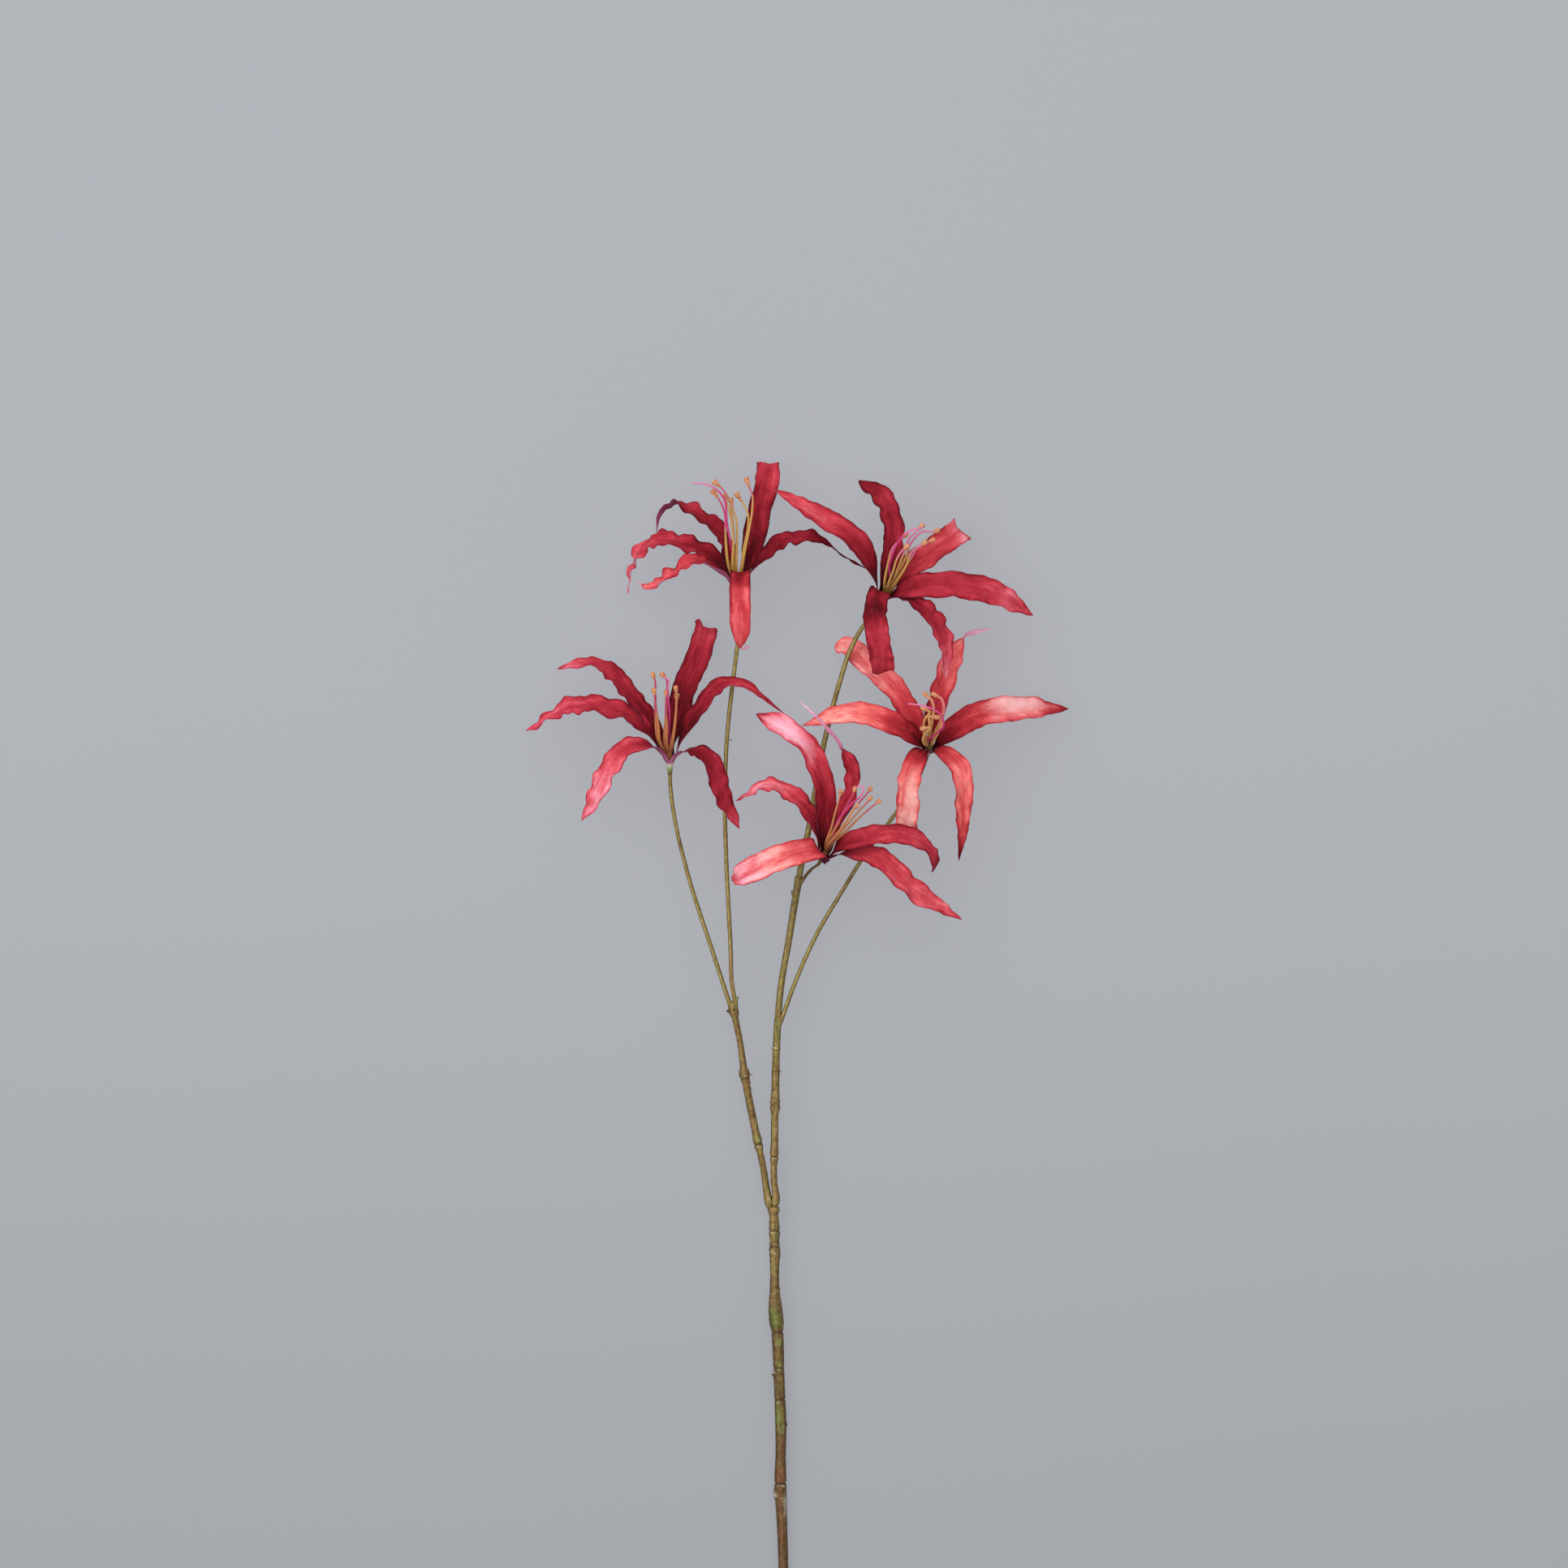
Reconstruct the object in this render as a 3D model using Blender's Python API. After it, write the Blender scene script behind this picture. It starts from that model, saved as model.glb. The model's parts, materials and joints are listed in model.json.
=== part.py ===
# A nerine flower stem, cut and lying down: one stem that forks twice, five pedicels, and a bloom
# of six recurved tepals with stamens and style on each.
# Metres, +Z up. The stem lies along Y with its blooms at +Y, and its lowest points are at Z = 0.
# The lists below are in millimetres, and MM turns them into metres where a mesh is made.
import math

import bpy
import numpy as np

MM = 0.001
GAP = 0.3  # clearance between two pieces that meet face to face
PLACE = (0.8, -0.6, 0.0)  # moves the middle of the footprint onto the origin

# Sizes that every bloom shares
HUB_RADIUS = 3.0
HUB_HEIGHT = 5.0
RECEPTACLE_LENGTH = 8.0
RECEPTACLE_RADII = (1.45, 1.7, 2.5, 3.0)
BLADE_THICKNESS = 0.8
BLADE_STATIONS = 20
ROOT_RING = 2.6  # radius of the ring on which the six tepals stand
ROOT_WIDTH = 2.6
ROOT_DEPTH = 1.5  # how far a tepal starts below the middle of the hub
CLAW_RISE = 3.5  # where its claw leaves the hub, above that middle
WAVES = 6.5  # ruffles along one edge of a tepal
WAVE_HEIGHT = 1.5
WAVE_SHIFT = 1.9  # how far the two edges are out of step, in radians
CHANNEL_DEPTH = 1.9
TIP_SHARE = 0.3  # width of a tepal's last row against the row before
PLUG_RADIUS = 1.7
PLUG_HEIGHT = 2.0
FILAMENT_RING = 1.1  # radius of the ring of filament roots
FILAMENT_ARC = (75.0, 285.0)  # degrees of that ring that they fill, from the style round
FILAMENT_RADII = (0.6, 0.5)
FILAMENT_DEPTH = 0.8  # how far its root stands in the plug
ANTHER_LENGTH = 6.5
ANTHER_RADII = (1.5, 1.8, 1.3, 0.6)
STYLE_RADIUS = 0.42
STYLE_RING = 1.25
LEAD = 4.0  # a stem leaves the piece that carries it straight for this far
PEDICEL_STEP = 14.0  # distance between the rings of a pedicel

# The main stem from the cut end up: points on its axis, then (distance from the cut, radius).
STEM_POINTS = (
    (-8.5, -350.0, 3.15),
    (-9.5, -314.0, 4.0),
    (-10.7, -285.0, 5.1),
    (-10.5, -247.0, 6.6),
    (-11.5, -218.5, 7.8),
    (-12.5, -190.0, 9.0),
    (-14.0, -170.5, 9.8),
    (-14.3, -138.5, 11.1),
    (-14.8, -115.0, 12.0),
    (-15.0, -111.0, 12.2),
)
STEM_RADII = (
    (0.0, 3.15),
    (19.5, 3.15),
    (36.0, 3.15),
    (53.0, 3.5),
    (65.0, 3.75),
    (67.3, 3.3),
    (71.0, 3.75),
    (84.0, 3.2),
    (92.5, 3.3),
    (103.0, 3.5),
    (113.0, 3.5),
    (119.5, 3.1),
    (131.5, 3.45),
    (139.3, 3.1),
    (148.5, 3.6),
    (159.5, 3.65),
    (161.3, 3.4),
    (167.0, 4.5),
    (173.5, 4.4),
    (179.5, 4.0),
    (186.5, 3.1),
    (194.5, 2.75),
    (203.5, 2.9),
    (211.5, 3.5),
    (214.8, 3.0),
    (218.5, 2.9),
    (223.0, 3.5),
    (224.7, 3.2),
    (226.5, 3.3),
    (233.5, 2.75),
    (236.5, 3.6),
    (239.0, 3.6),
)

# Sockets: a short branch end that rises out of a stem, from inside it to the face it ends in.
LEFT_SOCKET = ((-16.0, -115.5, 11.4), (-19.3, -109.2, 10.4), 2.5)
RIGHT_SOCKET = ((-15.0, -115.5, 12.2), (-14.2, -110.2, 13.2), 2.6)
PEDICEL_1_SOCKET = ((-38.9, 11.0, 22.2), (-38.3, 17.0, 23.0), 1.7)
PEDICEL_3_SOCKET = ((-40.3, 11.0, 21.8), (-42.6, 15.8, 22.0), 1.7)
PEDICEL_4_SOCKET = ((-12.4, 1.0, 18.6), (-8.6, 8.5, 19.4), 1.7)
PEDICEL_5_SOCKET = ((0.2, 88.0, 23.6), (4.4, 93.6, 27.0), 1.35)

LEFT_POINTS = (
    (-22.5, -86.0, 13.2),
    (-24.0, -76.0, 14.2),
    (-28.5, -53.5, 16.2),
    (-32.5, -31.5, 18.2),
    (-36.0, -7.0, 20.2),
    (-38.0, 3.0, 21.2),
    (-39.8, 12.5, 22.0),
)
LEFT_RADII = (
    (0.0, 2.4),
    (4.0, 2.45),
    (11.0, 2.15),
    (23.0, 2.0),
    (33.0, 2.0),
    (36.5, 2.75),
    (38.5, 2.5),
    (40.5, 2.85),
    (46.0, 2.25),
    (63.0, 2.3),
    (71.0, 2.25),
    (76.0, 3.1),
    (79.5, 3.1),
    (82.0, 2.25),
    (102.0, 1.8),
    (113.0, 1.9),
    (117.0, 2.1),
    (120.0, 2.9),
    (123.0, 2.7),
)
RIGHT_POINTS = (
    (-14.7, -95.0, 14.4),
    (-14.5, -77.5, 15.2),
    (-14.0, -45.5, 17.0),
    (-13.2, -12.5, 18.2),
    (-12.5, 3.0, 18.8),
    (-10.0, 28.5, 20.2),
    (-5.5, 54.5, 21.8),
    (-2.0, 76.5, 23.2),
    (1.0, 94.5, 24.6),
)
RIGHT_RADII = (
    (0.0, 2.5),
    (4.0, 2.5),
    (9.0, 2.1),
    (26.0, 2.0),
    (29.0, 2.6),
    (30.5, 2.35),
    (33.0, 2.7),
    (40.0, 2.3),
    (58.0, 2.3),
    (61.0, 3.0),
    (66.5, 3.1),
    (72.0, 2.5),
    (80.0, 2.5),
    (83.0, 2.9),
    (85.5, 2.5),
    (96.0, 2.3),
    (97.5, 2.7),
    (99.5, 2.3),
    (109.0, 2.3),
    (117.0, 2.1),
    (150.0, 2.0),
    (187.0, 2.2),
    (197.0, 2.3),
    (206.5, 2.2),
)

# Pedicels: points between the socket and the bloom, and the radius at each end.
PEDICELS = (
    dict(
        socket=PEDICEL_1_SOCKET,
        points=(
            (-41.5, 50.0, 26.0),
            (-44.0, 101.0, 29.0),
            (-45.0, 140.0, 31.5),
            (-43.5, 181.5, 33.5),
            (-39.0, 222.5, 35.0),
            (-36.3, 244.0, 35.3),
        ),
        radii=(1.35, 1.25),
    ),
    dict(
        socket=None,
        points=(
            (6.5, 122.0, 27.0),
            (10.5, 144.5, 29.0),
            (17.0, 179.5, 32.0),
            (25.5, 212.5, 34.0),
            (32.0, 232.5, 35.0),
            (39.5, 247.0, 36.2),
        ),
        radii=(2.0, 1.3),
    ),
    dict(
        socket=PEDICEL_3_SOCKET,
        points=(
            (-51.5, 44.0, 24.0),
            (-67.5, 94.0, 28.0),
            (-74.5, 122.0, 30.5),
            (-78.0, 143.5, 33.0),
        ),
        radii=(1.35, 1.2),
    ),
    dict(
        socket=PEDICEL_4_SOCKET,
        points=(
            (-2.5, 26.0, 19.8),
            (11.5, 57.5, 19.5),
            (29.5, 88.0, 18.5),
            (42.0, 108.0, 17.5),
            (61.0, 133.5, 16.5),
            (75.0, 155.5, 19.0),
        ),
        radii=(1.35, 1.15),
    ),
    dict(
        socket=PEDICEL_5_SOCKET,
        points=((8.8, 98.3, 31.5),),
        radii=(1.1, 1.1),
    ),
)

# Blooms: the heart is the middle of the hub, and the axis points out of the mouth. Tepals are in
# turn round the axis, from the one nearest the viewer above: width, the way the inner face looks
# at mid length, the further turn to the tip in degrees, the part of the length where it starts to
# narrow, and points on the midrib from the heart.
BLOOMS = (
    dict(
        heart=(-37.0, 273.0, 40.0),
        axis=(-0.13, 0.93, 0.34),
        phase=0.0,
        tepals=(
            (13.0, (0.0, 0.0, 1.0), 0.0, 0.55,
             ((1.5, 9.5, 11.0), (1.0, -9.0, 26.0), (0.5, -29.0, 28.0), (1.0, -38.5, 17.0),
              (4.0, -37.0, 7.0))),
            (12.0, (0.0, 0.9, 0.43), 10.0, 0.55,
             ((10.0, 11.5, 6.0), (25.5, 27.0, 9.0), (48.0, 30.0, 3.0), (64.0, 19.0, -5.0),
              (80.0, 10.5, -9.0))),
            (14.5, (0.0, 0.0, 1.0), 0.0, 0.8,
             ((6.5, 14.5, 0.0), (10.5, 32.0, 1.0), (14.5, 50.5, -2.0), (18.5, 66.5, -8.0),
              (18.0, 76.5, -17.0), (15.0, 74.0, -28.0))),
            (12.5, (0.4, 0.5, 0.6), 60.0, 0.55,
             ((-3.5, 11.0, -1.0), (-9.5, 32.0, 1.0), (-25.5, 45.5, 1.0), (-37.0, 51.0, -3.0),
              (-46.0, 46.5, -8.0), (-50.5, 33.5, -17.0))),
            (14.0, (0.0, 0.7, 0.7), 0.0, 0.55,
             ((-13.5, 18.0, 0.0), (-33.5, 27.0, 1.0), (-54.0, 28.0, -3.0), (-65.5, 13.5, -12.0),
              (-68.0, -4.5, -20.0))),
            (13.0, (0.0, 0.75, 0.6), 0.0, 0.55,
             ((-9.0, 9.0, 8.0), (-26.0, 16.5, 17.0), (-40.0, 8.5, 18.0), (-53.0, 0.0, 10.0),
              (-61.5, 1.5, 2.0))),
        ),
        anthers=((-14.5, 64.0, 16.0), (-15.0, 57.0, 20.0), (-8.0, 54.0, 24.0), (-4.0, 51.5, 18.0),
                 (-0.5, 56.5, 21.0), (5.0, 65.5, 24.0)),
        bows=(-1.0, 0.0, 1.0, 3.0, 13.0, 14.0),
        style=((-6.5, 38.0, 23.5), (-12.0, 52.0, 28.5), (-18.0, 60.0, 29.5), (-27.5, 62.0, 28.0)),
    ),
    dict(
        heart=(52.5, 266.5, 48.0),
        axis=(0.35, 0.68, 0.64),
        phase=-10.0,
        tepals=(
            (15.0, (0.0, 0.0, 1.0), 0.0, 0.75,
             ((-1.5, 4.0, 12.0), (-5.0, -7.5, 22.0), (-4.5, -20.5, 27.0), (-2.0, -34.0, 24.0),
              (0.0, -46.0, 13.0), (0.5, -46.0, 4.0))),
            (13.5, (0.3, 0.5, 0.8), 0.0, 0.55,
             ((15.5, -0.5, 12.0), (28.5, -10.5, 19.0), (38.5, -29.5, 15.0), (38.5, -51.0, 7.0))),
            (16.5, (0.0, 0.2, 1.0), 0.0, 0.6,
             ((11.0, 4.0, 9.0), (37.5, 7.0, 13.0), (69.0, 2.0, 4.0), (92.5, -11.5, -12.0))),
            (15.5, (-0.2, -0.1, 1.0), 0.0, 0.75,
             ((11.0, 14.5, 3.0), (28.5, 28.5, -2.0), (41.5, 38.5, -11.0), (47.5, 42.5, -22.0),
              (47.0, 41.0, -35.5), (42.0, 36.5, -47.9))),
            (13.5, (0.2, -0.1, 1.0), 0.0, 0.55,
             ((1.0, 8.5, 5.0), (6.5, 38.5, 7.0), (4.0, 53.0, 1.0), (-2.5, 64.0, -6.0),
              (-14.0, 70.5, -15.0))),
            (15.0, (0.3, 0.3, 0.9), 0.0, 0.55,
             ((-4.5, 10.5, 6.0), (-15.0, 33.0, 11.0), (-38.5, 49.5, 8.0), (-67.0, 66.0, -4.0))),
        ),
        anthers=((25.0, 44.0, 28.0), (13.5, 36.0, 32.0), (33.0, 40.0, 26.0), (30.0, 34.0, 30.0),
                 (25.0, 32.0, 33.0), (13.0, 29.0, 35.0)),
        bows=(0.0, 0.0, 0.0, 0.0, 0.0, 0.0),
        style=((4.0, 21.0, 27.0), (8.0, 33.0, 37.0), (14.0, 40.0, 40.0), (22.0, 43.0, 39.0)),
    ),
    dict(
        heart=(-79.0, 167.0, 40.0),
        axis=(-0.02, 0.94, 0.34),
        phase=30.0,
        tepals=(
            (13.0, (0.4, 0.3, 0.85), 0.0, 0.55,
             ((12.5, 5.5, 11.0), (25.5, -0.5, 18.0), (32.5, -21.5, 18.0), (43.0, -43.5, 8.0))),
            (10.5, (-0.1, 0.75, 0.65), 45.0, 0.45,
             ((6.5, 11.0, 7.0), (19.0, 31.0, 9.0), (34.0, 45.0, 6.0), (46.0, 44.0, 4.0),
              (68.5, 28.5, 0.0))),
            (15.5, (0.0, 0.0, 1.0), 0.0, 0.8,
             ((0.5, 8.0, -1.5), (4.5, 24.5, -1.0), (8.5, 41.5, -4.0), (15.0, 57.0, -9.0),
              (20.0, 71.0, -18.0), (20.0, 79.5, -28.5), (16.5, 77.0, -39.9))),
            (13.5, (0.5, 0.4, 0.75), 0.0, 0.55,
             ((-8.5, 18.5, 0.0), (-25.0, 41.0, 2.0), (-42.0, 58.0, 0.0), (-55.0, 59.0, -6.0),
              (-69.5, 55.0, -12.0))),
            (14.5, (0.1, 0.6, 0.8), 0.0, 0.55,
             ((-14.5, 19.5, 6.0), (-38.0, 32.0, 8.0), (-58.0, 33.0, 4.0), (-89.0, 16.5, -10.0))),
            (14.0, (-0.2, 0.3, 0.9), 0.0, 0.6,
             ((-12.5, 9.0, 12.0), (-28.0, 5.5, 20.0), (-39.0, -10.0, 22.0), (-46.5, -25.5, 17.0),
              (-54.0, -38.5, 8.0))),
        ),
        anthers=((-10.0, 51.5, 18.0), (-9.5, 41.5, 20.0), (-5.5, 52.0, 22.0), (-1.5, 41.5, 22.0),
                 (4.0, 43.5, 19.0), (4.5, 38.0, 16.0)),
        bows=(-1.0, -1.0, 4.0, 1.0, 3.0, 4.0),
        style=((1.0, 29.0, 18.0), (2.0, 42.0, 26.5), (0.5, 49.0, 28.5), (-4.0, 50.5, 29.0)),
    ),
    dict(
        heart=(81.0, 173.0, 38.0),
        axis=(0.1, 0.4, 0.91),
        phase=0.0,
        tepals=(
            (14.5, (-0.2, 0.2, 1.0), 0.0, 0.75,
             ((-4.5, -0.5, 11.0), (-12.0, -17.0, 16.0), (-13.5, -37.0, 9.0), (-14.5, -59.0, -5.0))),
            (12.5, (0.2, 0.3, 0.9), 20.0, 0.5,
             ((5.5, -0.5, 12.0), (18.5, -11.5, 19.0), (21.0, -36.0, 13.0), (18.5, -69.5, -8.0))),
            (16.5, (0.0, 0.1, 1.0), 0.0, 0.55,
             ((7.0, 6.0, 12.0), (27.0, 19.5, 12.0), (57.0, 25.0, -3.0), (86.5, 24.5, -22.0))),
            (14.0, (0.3, 0.1, 1.0), 90.0, 0.5,
             ((2.5, 18.5, 11.0), (9.0, 40.0, 3.0), (17.0, 61.0, -8.0), (26.0, 71.0, -14.0),
              (39.0, 74.0, -20.0))),
            (15.0, (0.2, 0.2, 1.0), 0.0, 0.8,
             ((-5.5, 8.5, 12.0), (-19.0, 34.0, 8.0), (-37.5, 53.0, -5.0), (-51.0, 64.5, -17.0),
              (-57.0, 61.0, -26.0))),
            (14.5, (0.0, 0.3, 1.0), 0.0, 0.55,
             ((-6.5, 5.0, 12.0), (-26.5, 17.5, 15.0), (-49.0, 22.0, 9.0), (-78.0, 14.0, 1.0))),
        ),
        anthers=((-3.0, 33.5, 30.0), (4.0, 33.0, 32.0), (-4.5, 23.0, 36.0), (0.0, 18.5, 39.0),
                 (-3.0, 12.5, 38.0), (5.5, 19.5, 36.0)),
        bows=(-1.0, 3.0, -1.5, 2.0, -1.0, 3.0),
        style=((-4.0, 5.0, 18.0), (-7.5, 10.0, 34.0), (-8.5, 21.0, 47.0), (-14.0, 27.5, 48.0)),
    ),
    dict(
        heart=(16.0, 107.0, 45.0),
        axis=(0.33, 0.55, 0.77),
        phase=-20.0,
        tepals=(
            (16.5, (-0.3, 0.2, 1.0), 0.0, 0.7,
             ((-7.0, 5.0, 13.0), (-30.0, -2.0, 22.0), (-43.0, -8.0, 18.0), (-54.0, -13.5, 8.0),
              (-57.0, -15.5, -1.0))),
            (14.5, (0.2, 0.4, 0.9), 0.0, 0.55,
             ((12.5, 2.0, 11.0), (34.5, -1.5, 15.0), (54.0, -19.5, 11.0), (85.0, -39.5, -3.0))),
            (13.5, (0.1, 0.4, 0.9), 0.0, 0.55,
             ((8.5, 6.0, 12.0), (32.5, 13.0, 16.0), (56.0, 11.0, 10.0), (68.5, -1.5, 1.0),
              (68.0, -9.0, -6.0))),
            (10.0, (-0.6, 0.0, 0.8), 120.0, 0.4,
             ((6.5, 19.0, 7.0), (17.0, 42.0, 10.0), (17.5, 57.0, 12.0), (9.5, 69.5, 13.0),
              (-14.5, 95.0, 8.0))),
            (14.5, (0.4, 0.1, 0.9), 0.0, 0.55,
             ((0.5, 13.0, 7.0), (0.5, 41.5, 9.0), (-11.0, 67.5, 6.0), (-41.5, 87.0, 1.0))),
            (13.0, (0.2, 0.6, 0.75), 0.0, 0.55,
             ((-3.0, 15.0, 8.0), (-15.0, 34.5, 10.0), (-33.0, 44.0, 7.0), (-54.0, 33.5, -2.0))),
        ),
        anthers=((10.5, 40.0, 28.0), (19.0, 41.5, 30.0), (28.0, 41.0, 26.0), (28.5, 35.0, 30.0),
                 (34.0, 34.0, 26.0), (21.0, 32.0, 33.0)),
        bows=(0.0, 0.0, 0.0, 0.0, 0.0, 0.0),
        style=((9.0, 22.0, 24.0), (19.0, 33.0, 33.0), (24.0, 41.5, 35.0), (18.0, 43.0, 36.0)),
    ),
)

# Colours as linear RGB, with a roughness
FINISHES = dict(
    stem=((0.19, 0.10, 0.035), 0.55),
    pedicel=((0.22, 0.17, 0.045), 0.5),
    receptacle=((0.30, 0.38, 0.14), 0.6),
    tepal=((0.37, 0.015, 0.035), 0.75),
    stamen=((0.55, 0.22, 0.08), 0.6),
    style=((0.55, 0.05, 0.22), 0.45),
)


def unit(vectors):
    vectors = np.asarray(vectors, float)
    return vectors / np.linalg.norm(vectors, axis=-1, keepdims=True)


def smooth_step(value):
    value = np.clip(value, 0.0, 1.0)
    return value * value * (3.0 - 2.0 * value)


# Curves

def curve_through(points, samples=240):
    """A smooth curve through points set by hand, and the distance along it at each sample."""
    points = np.asarray(points, float)
    knots = np.append(0.0, np.cumsum(np.linalg.norm(np.diff(points, axis=0), axis=1)))
    slopes = np.gradient(points, knots, axis=0)
    at = np.linspace(0.0, knots[-1], samples)
    piece = np.clip(np.searchsorted(knots, at, side="right") - 1, 0, len(points) - 2)
    span = (knots[piece + 1] - knots[piece])[:, None]
    t = (at - knots[piece])[:, None] / span
    curve = (
        (2 * t**3 - 3 * t**2 + 1) * points[piece]
        + (t**3 - 2 * t**2 + t) * span * slopes[piece]
        + (3 * t**2 - 2 * t**3) * points[piece + 1]
        + (t**3 - t**2) * span * slopes[piece + 1]
    )
    along = np.append(0.0, np.cumsum(np.linalg.norm(np.diff(curve, axis=0), axis=1)))
    return curve, along


def carried_sides(curve, first):
    """Tangents of the curve, and a side vector carried along it without turning about it."""
    tangents = unit(np.gradient(curve, axis=0))
    sides = np.empty_like(curve)
    side = np.asarray(first, float)
    for station, tangent in enumerate(tangents):
        side = unit(side - side.dot(tangent) * tangent)
        sides[station] = side
    return tangents, sides


def read_at(values, along, distances):
    """Rows of values, given at the distances along a curve, read at other distances."""
    return np.stack([np.interp(distances, along, column) for column in values.T], axis=1)


# Meshes

def new_object(name, points, faces):
    mesh = bpy.data.meshes.new(name)
    mesh.from_pydata((np.asarray(points) + PLACE) * MM, [], faces)
    mesh.update()
    made = bpy.data.objects.new(name, mesh)
    bpy.context.scene.collection.objects.link(made)
    return made


def tube(name, points, radii, sides, turn=0.0):
    """A round bar along a smooth curve, from (distance, radius) pairs, closed by flat ends."""
    curve, along = curve_through(points)
    first = (0.0, 0.0, 1.0) if abs(unit(curve[1] - curve[0])[2]) < 0.9 else (1.0, 0.0, 0.0)
    tangents, carried = carried_sides(curve, first)
    distances, radius = np.asarray(radii, float).T
    distances = distances * along[-1] / distances[-1]
    centre = read_at(curve, along, distances)
    side = unit(read_at(carried, along, distances))
    other = np.cross(unit(read_at(tangents, along, distances)), side)
    angles = np.arange(sides) * math.tau / sides + turn
    ring = np.cos(angles)[:, None] * side[:, None] + np.sin(angles)[:, None] * other[:, None]
    rings = centre[:, None] + radius[:, None, None] * ring
    faces = []
    for station in range(len(distances) - 1):
        for corner in range(sides):
            here = station * sides
            after = (corner + 1) % sides
            faces.append((here + corner, here + after, here + sides + after, here + sides + corner))
    last = (len(distances) - 1) * sides
    faces.append(tuple(reversed(range(sides))))
    faces.append(tuple(range(last, last + sides)))
    return new_object(name, rings.reshape(-1, 3), faces)


def even_radii(first, last, count):
    """Radii that change evenly between the two ends, at even distances."""
    return tuple((float(at), first + (last - first) * at) for at in np.linspace(0.0, 1.0, count))


def fused(name, pieces):
    """One closed solid from pieces that overlap."""
    base = pieces[0]
    others = bpy.data.collections.new(name + "_pieces")
    bpy.context.scene.collection.children.link(others)
    for piece in pieces[1:]:
        bpy.context.scene.collection.objects.unlink(piece)
        others.objects.link(piece)
    union = base.modifiers.new("union", "BOOLEAN")
    union.operation = "UNION"
    union.operand_type = "COLLECTION"
    union.collection = others
    union.solver = "EXACT"
    bpy.context.view_layer.update()
    graph = bpy.context.evaluated_depsgraph_get()
    joined = bpy.data.meshes.new_from_object(base.evaluated_get(graph))
    base.modifiers.clear()
    base.data = joined
    for piece in pieces[1:]:
        bpy.data.objects.remove(piece)
    bpy.data.collections.remove(others)
    base.name = name
    joined.name = name
    return base


def finish(made, finish_name, smooth_angle=50.0):
    """Gives the object its material and smooth shading with sharp ends."""
    material = bpy.data.materials.get(finish_name) or bpy.data.materials.new(finish_name)
    material.use_nodes = True
    shader = material.node_tree.nodes["Principled BSDF"]
    colour, roughness = FINISHES[finish_name]
    shader.inputs["Base Color"].default_value = (*colour, 1.0)
    shader.inputs["Roughness"].default_value = roughness
    shader.inputs["Metallic"].default_value = 0.0
    made.data.materials.clear()
    made.data.materials.append(material)
    made.data.shade_smooth()
    made.data.set_sharp_from_angle(angle=math.radians(smooth_angle))


# Stems

def socket_tube(name, socket, sides):
    start, end, radius = socket
    return tube(name, (start, end), ((0.0, radius), (1.0, radius)), sides)


def after_socket(socket, *distances):
    """Points straight out of the socket's face, this far from it."""
    start, end, _ = socket
    direction = unit(np.subtract(end, start))
    return [np.add(end, direction * distance) for distance in distances]


def main_stem():
    pieces = [
        tube("main_stem", STEM_POINTS, STEM_RADII, 12),
        socket_tube("left_socket", LEFT_SOCKET, 10),
        socket_tube("right_socket", RIGHT_SOCKET, 10),
    ]
    finish(fused("main_stem", pieces), "stem")


def left_branch():
    points = (*after_socket(LEFT_SOCKET, GAP, LEAD), *LEFT_POINTS)
    pieces = [
        tube("left_branch", points, LEFT_RADII, 10),
        socket_tube("socket_1", PEDICEL_1_SOCKET, 8),
        socket_tube("socket_3", PEDICEL_3_SOCKET, 8),
    ]
    finish(fused("left_branch", pieces), "stem")


def right_branch():
    points = (*after_socket(RIGHT_SOCKET, GAP, LEAD), *RIGHT_POINTS)
    pieces = [
        tube("right_branch", points, RIGHT_RADII, 10),
        socket_tube("socket_4", PEDICEL_4_SOCKET, 8),
        socket_tube("socket_5", PEDICEL_5_SOCKET, 8),
    ]
    finish(fused("right_branch", pieces), "stem")


def pedicel(number, spec, bloom):
    """From its socket to the foot of the receptacle. The second one carries on from the branch."""
    if spec["socket"]:
        start = after_socket(spec["socket"], GAP, LEAD / 2)
    else:
        end = np.asarray(RIGHT_POINTS[-1])
        direction = unit(end - np.asarray(RIGHT_POINTS[-2]))
        start = [end + direction * GAP, end + direction * LEAD]
    heart = np.asarray(bloom["heart"])
    axis = unit(bloom["axis"])
    foot = HUB_HEIGHT / 2 + GAP + RECEPTACLE_LENGTH + GAP
    points = (*start, *spec["points"], heart - axis * (foot + LEAD), heart - axis * foot)
    length = curve_through(points)[1][-1]
    count = max(4, round(length / PEDICEL_STEP))
    made = tube(f"pedicel_{number}", points, even_radii(*spec["radii"], count), 6)
    finish(made, "pedicel")


# Blooms

def receptacle(number, bloom):
    heart = np.asarray(bloom["heart"])
    axis = unit(bloom["axis"])
    top = heart - axis * (HUB_HEIGHT / 2 + GAP)
    points = (top - axis * RECEPTACLE_LENGTH, top)
    radii = tuple(zip((0.0, 0.3, 0.75, 1.0), RECEPTACLE_RADII))
    finish(tube(f"receptacle_{number}", points, radii, 10), "receptacle")


def blade_width(at, width, narrows):
    """Width along a tepal: a narrow claw, widest past the middle, then drawn in to its tip."""
    rise = smooth_step((at - 0.03) / 0.25)
    swell = 0.85 + 0.15 * smooth_step(at / 0.55)
    tip = 1.0 - (np.clip(at - narrows, 0.0, 1.0) / (1.01 - narrows)) ** 2.3
    return (ROOT_WIDTH + (width - ROOT_WIDTH) * rise) * swell * tip


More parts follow.
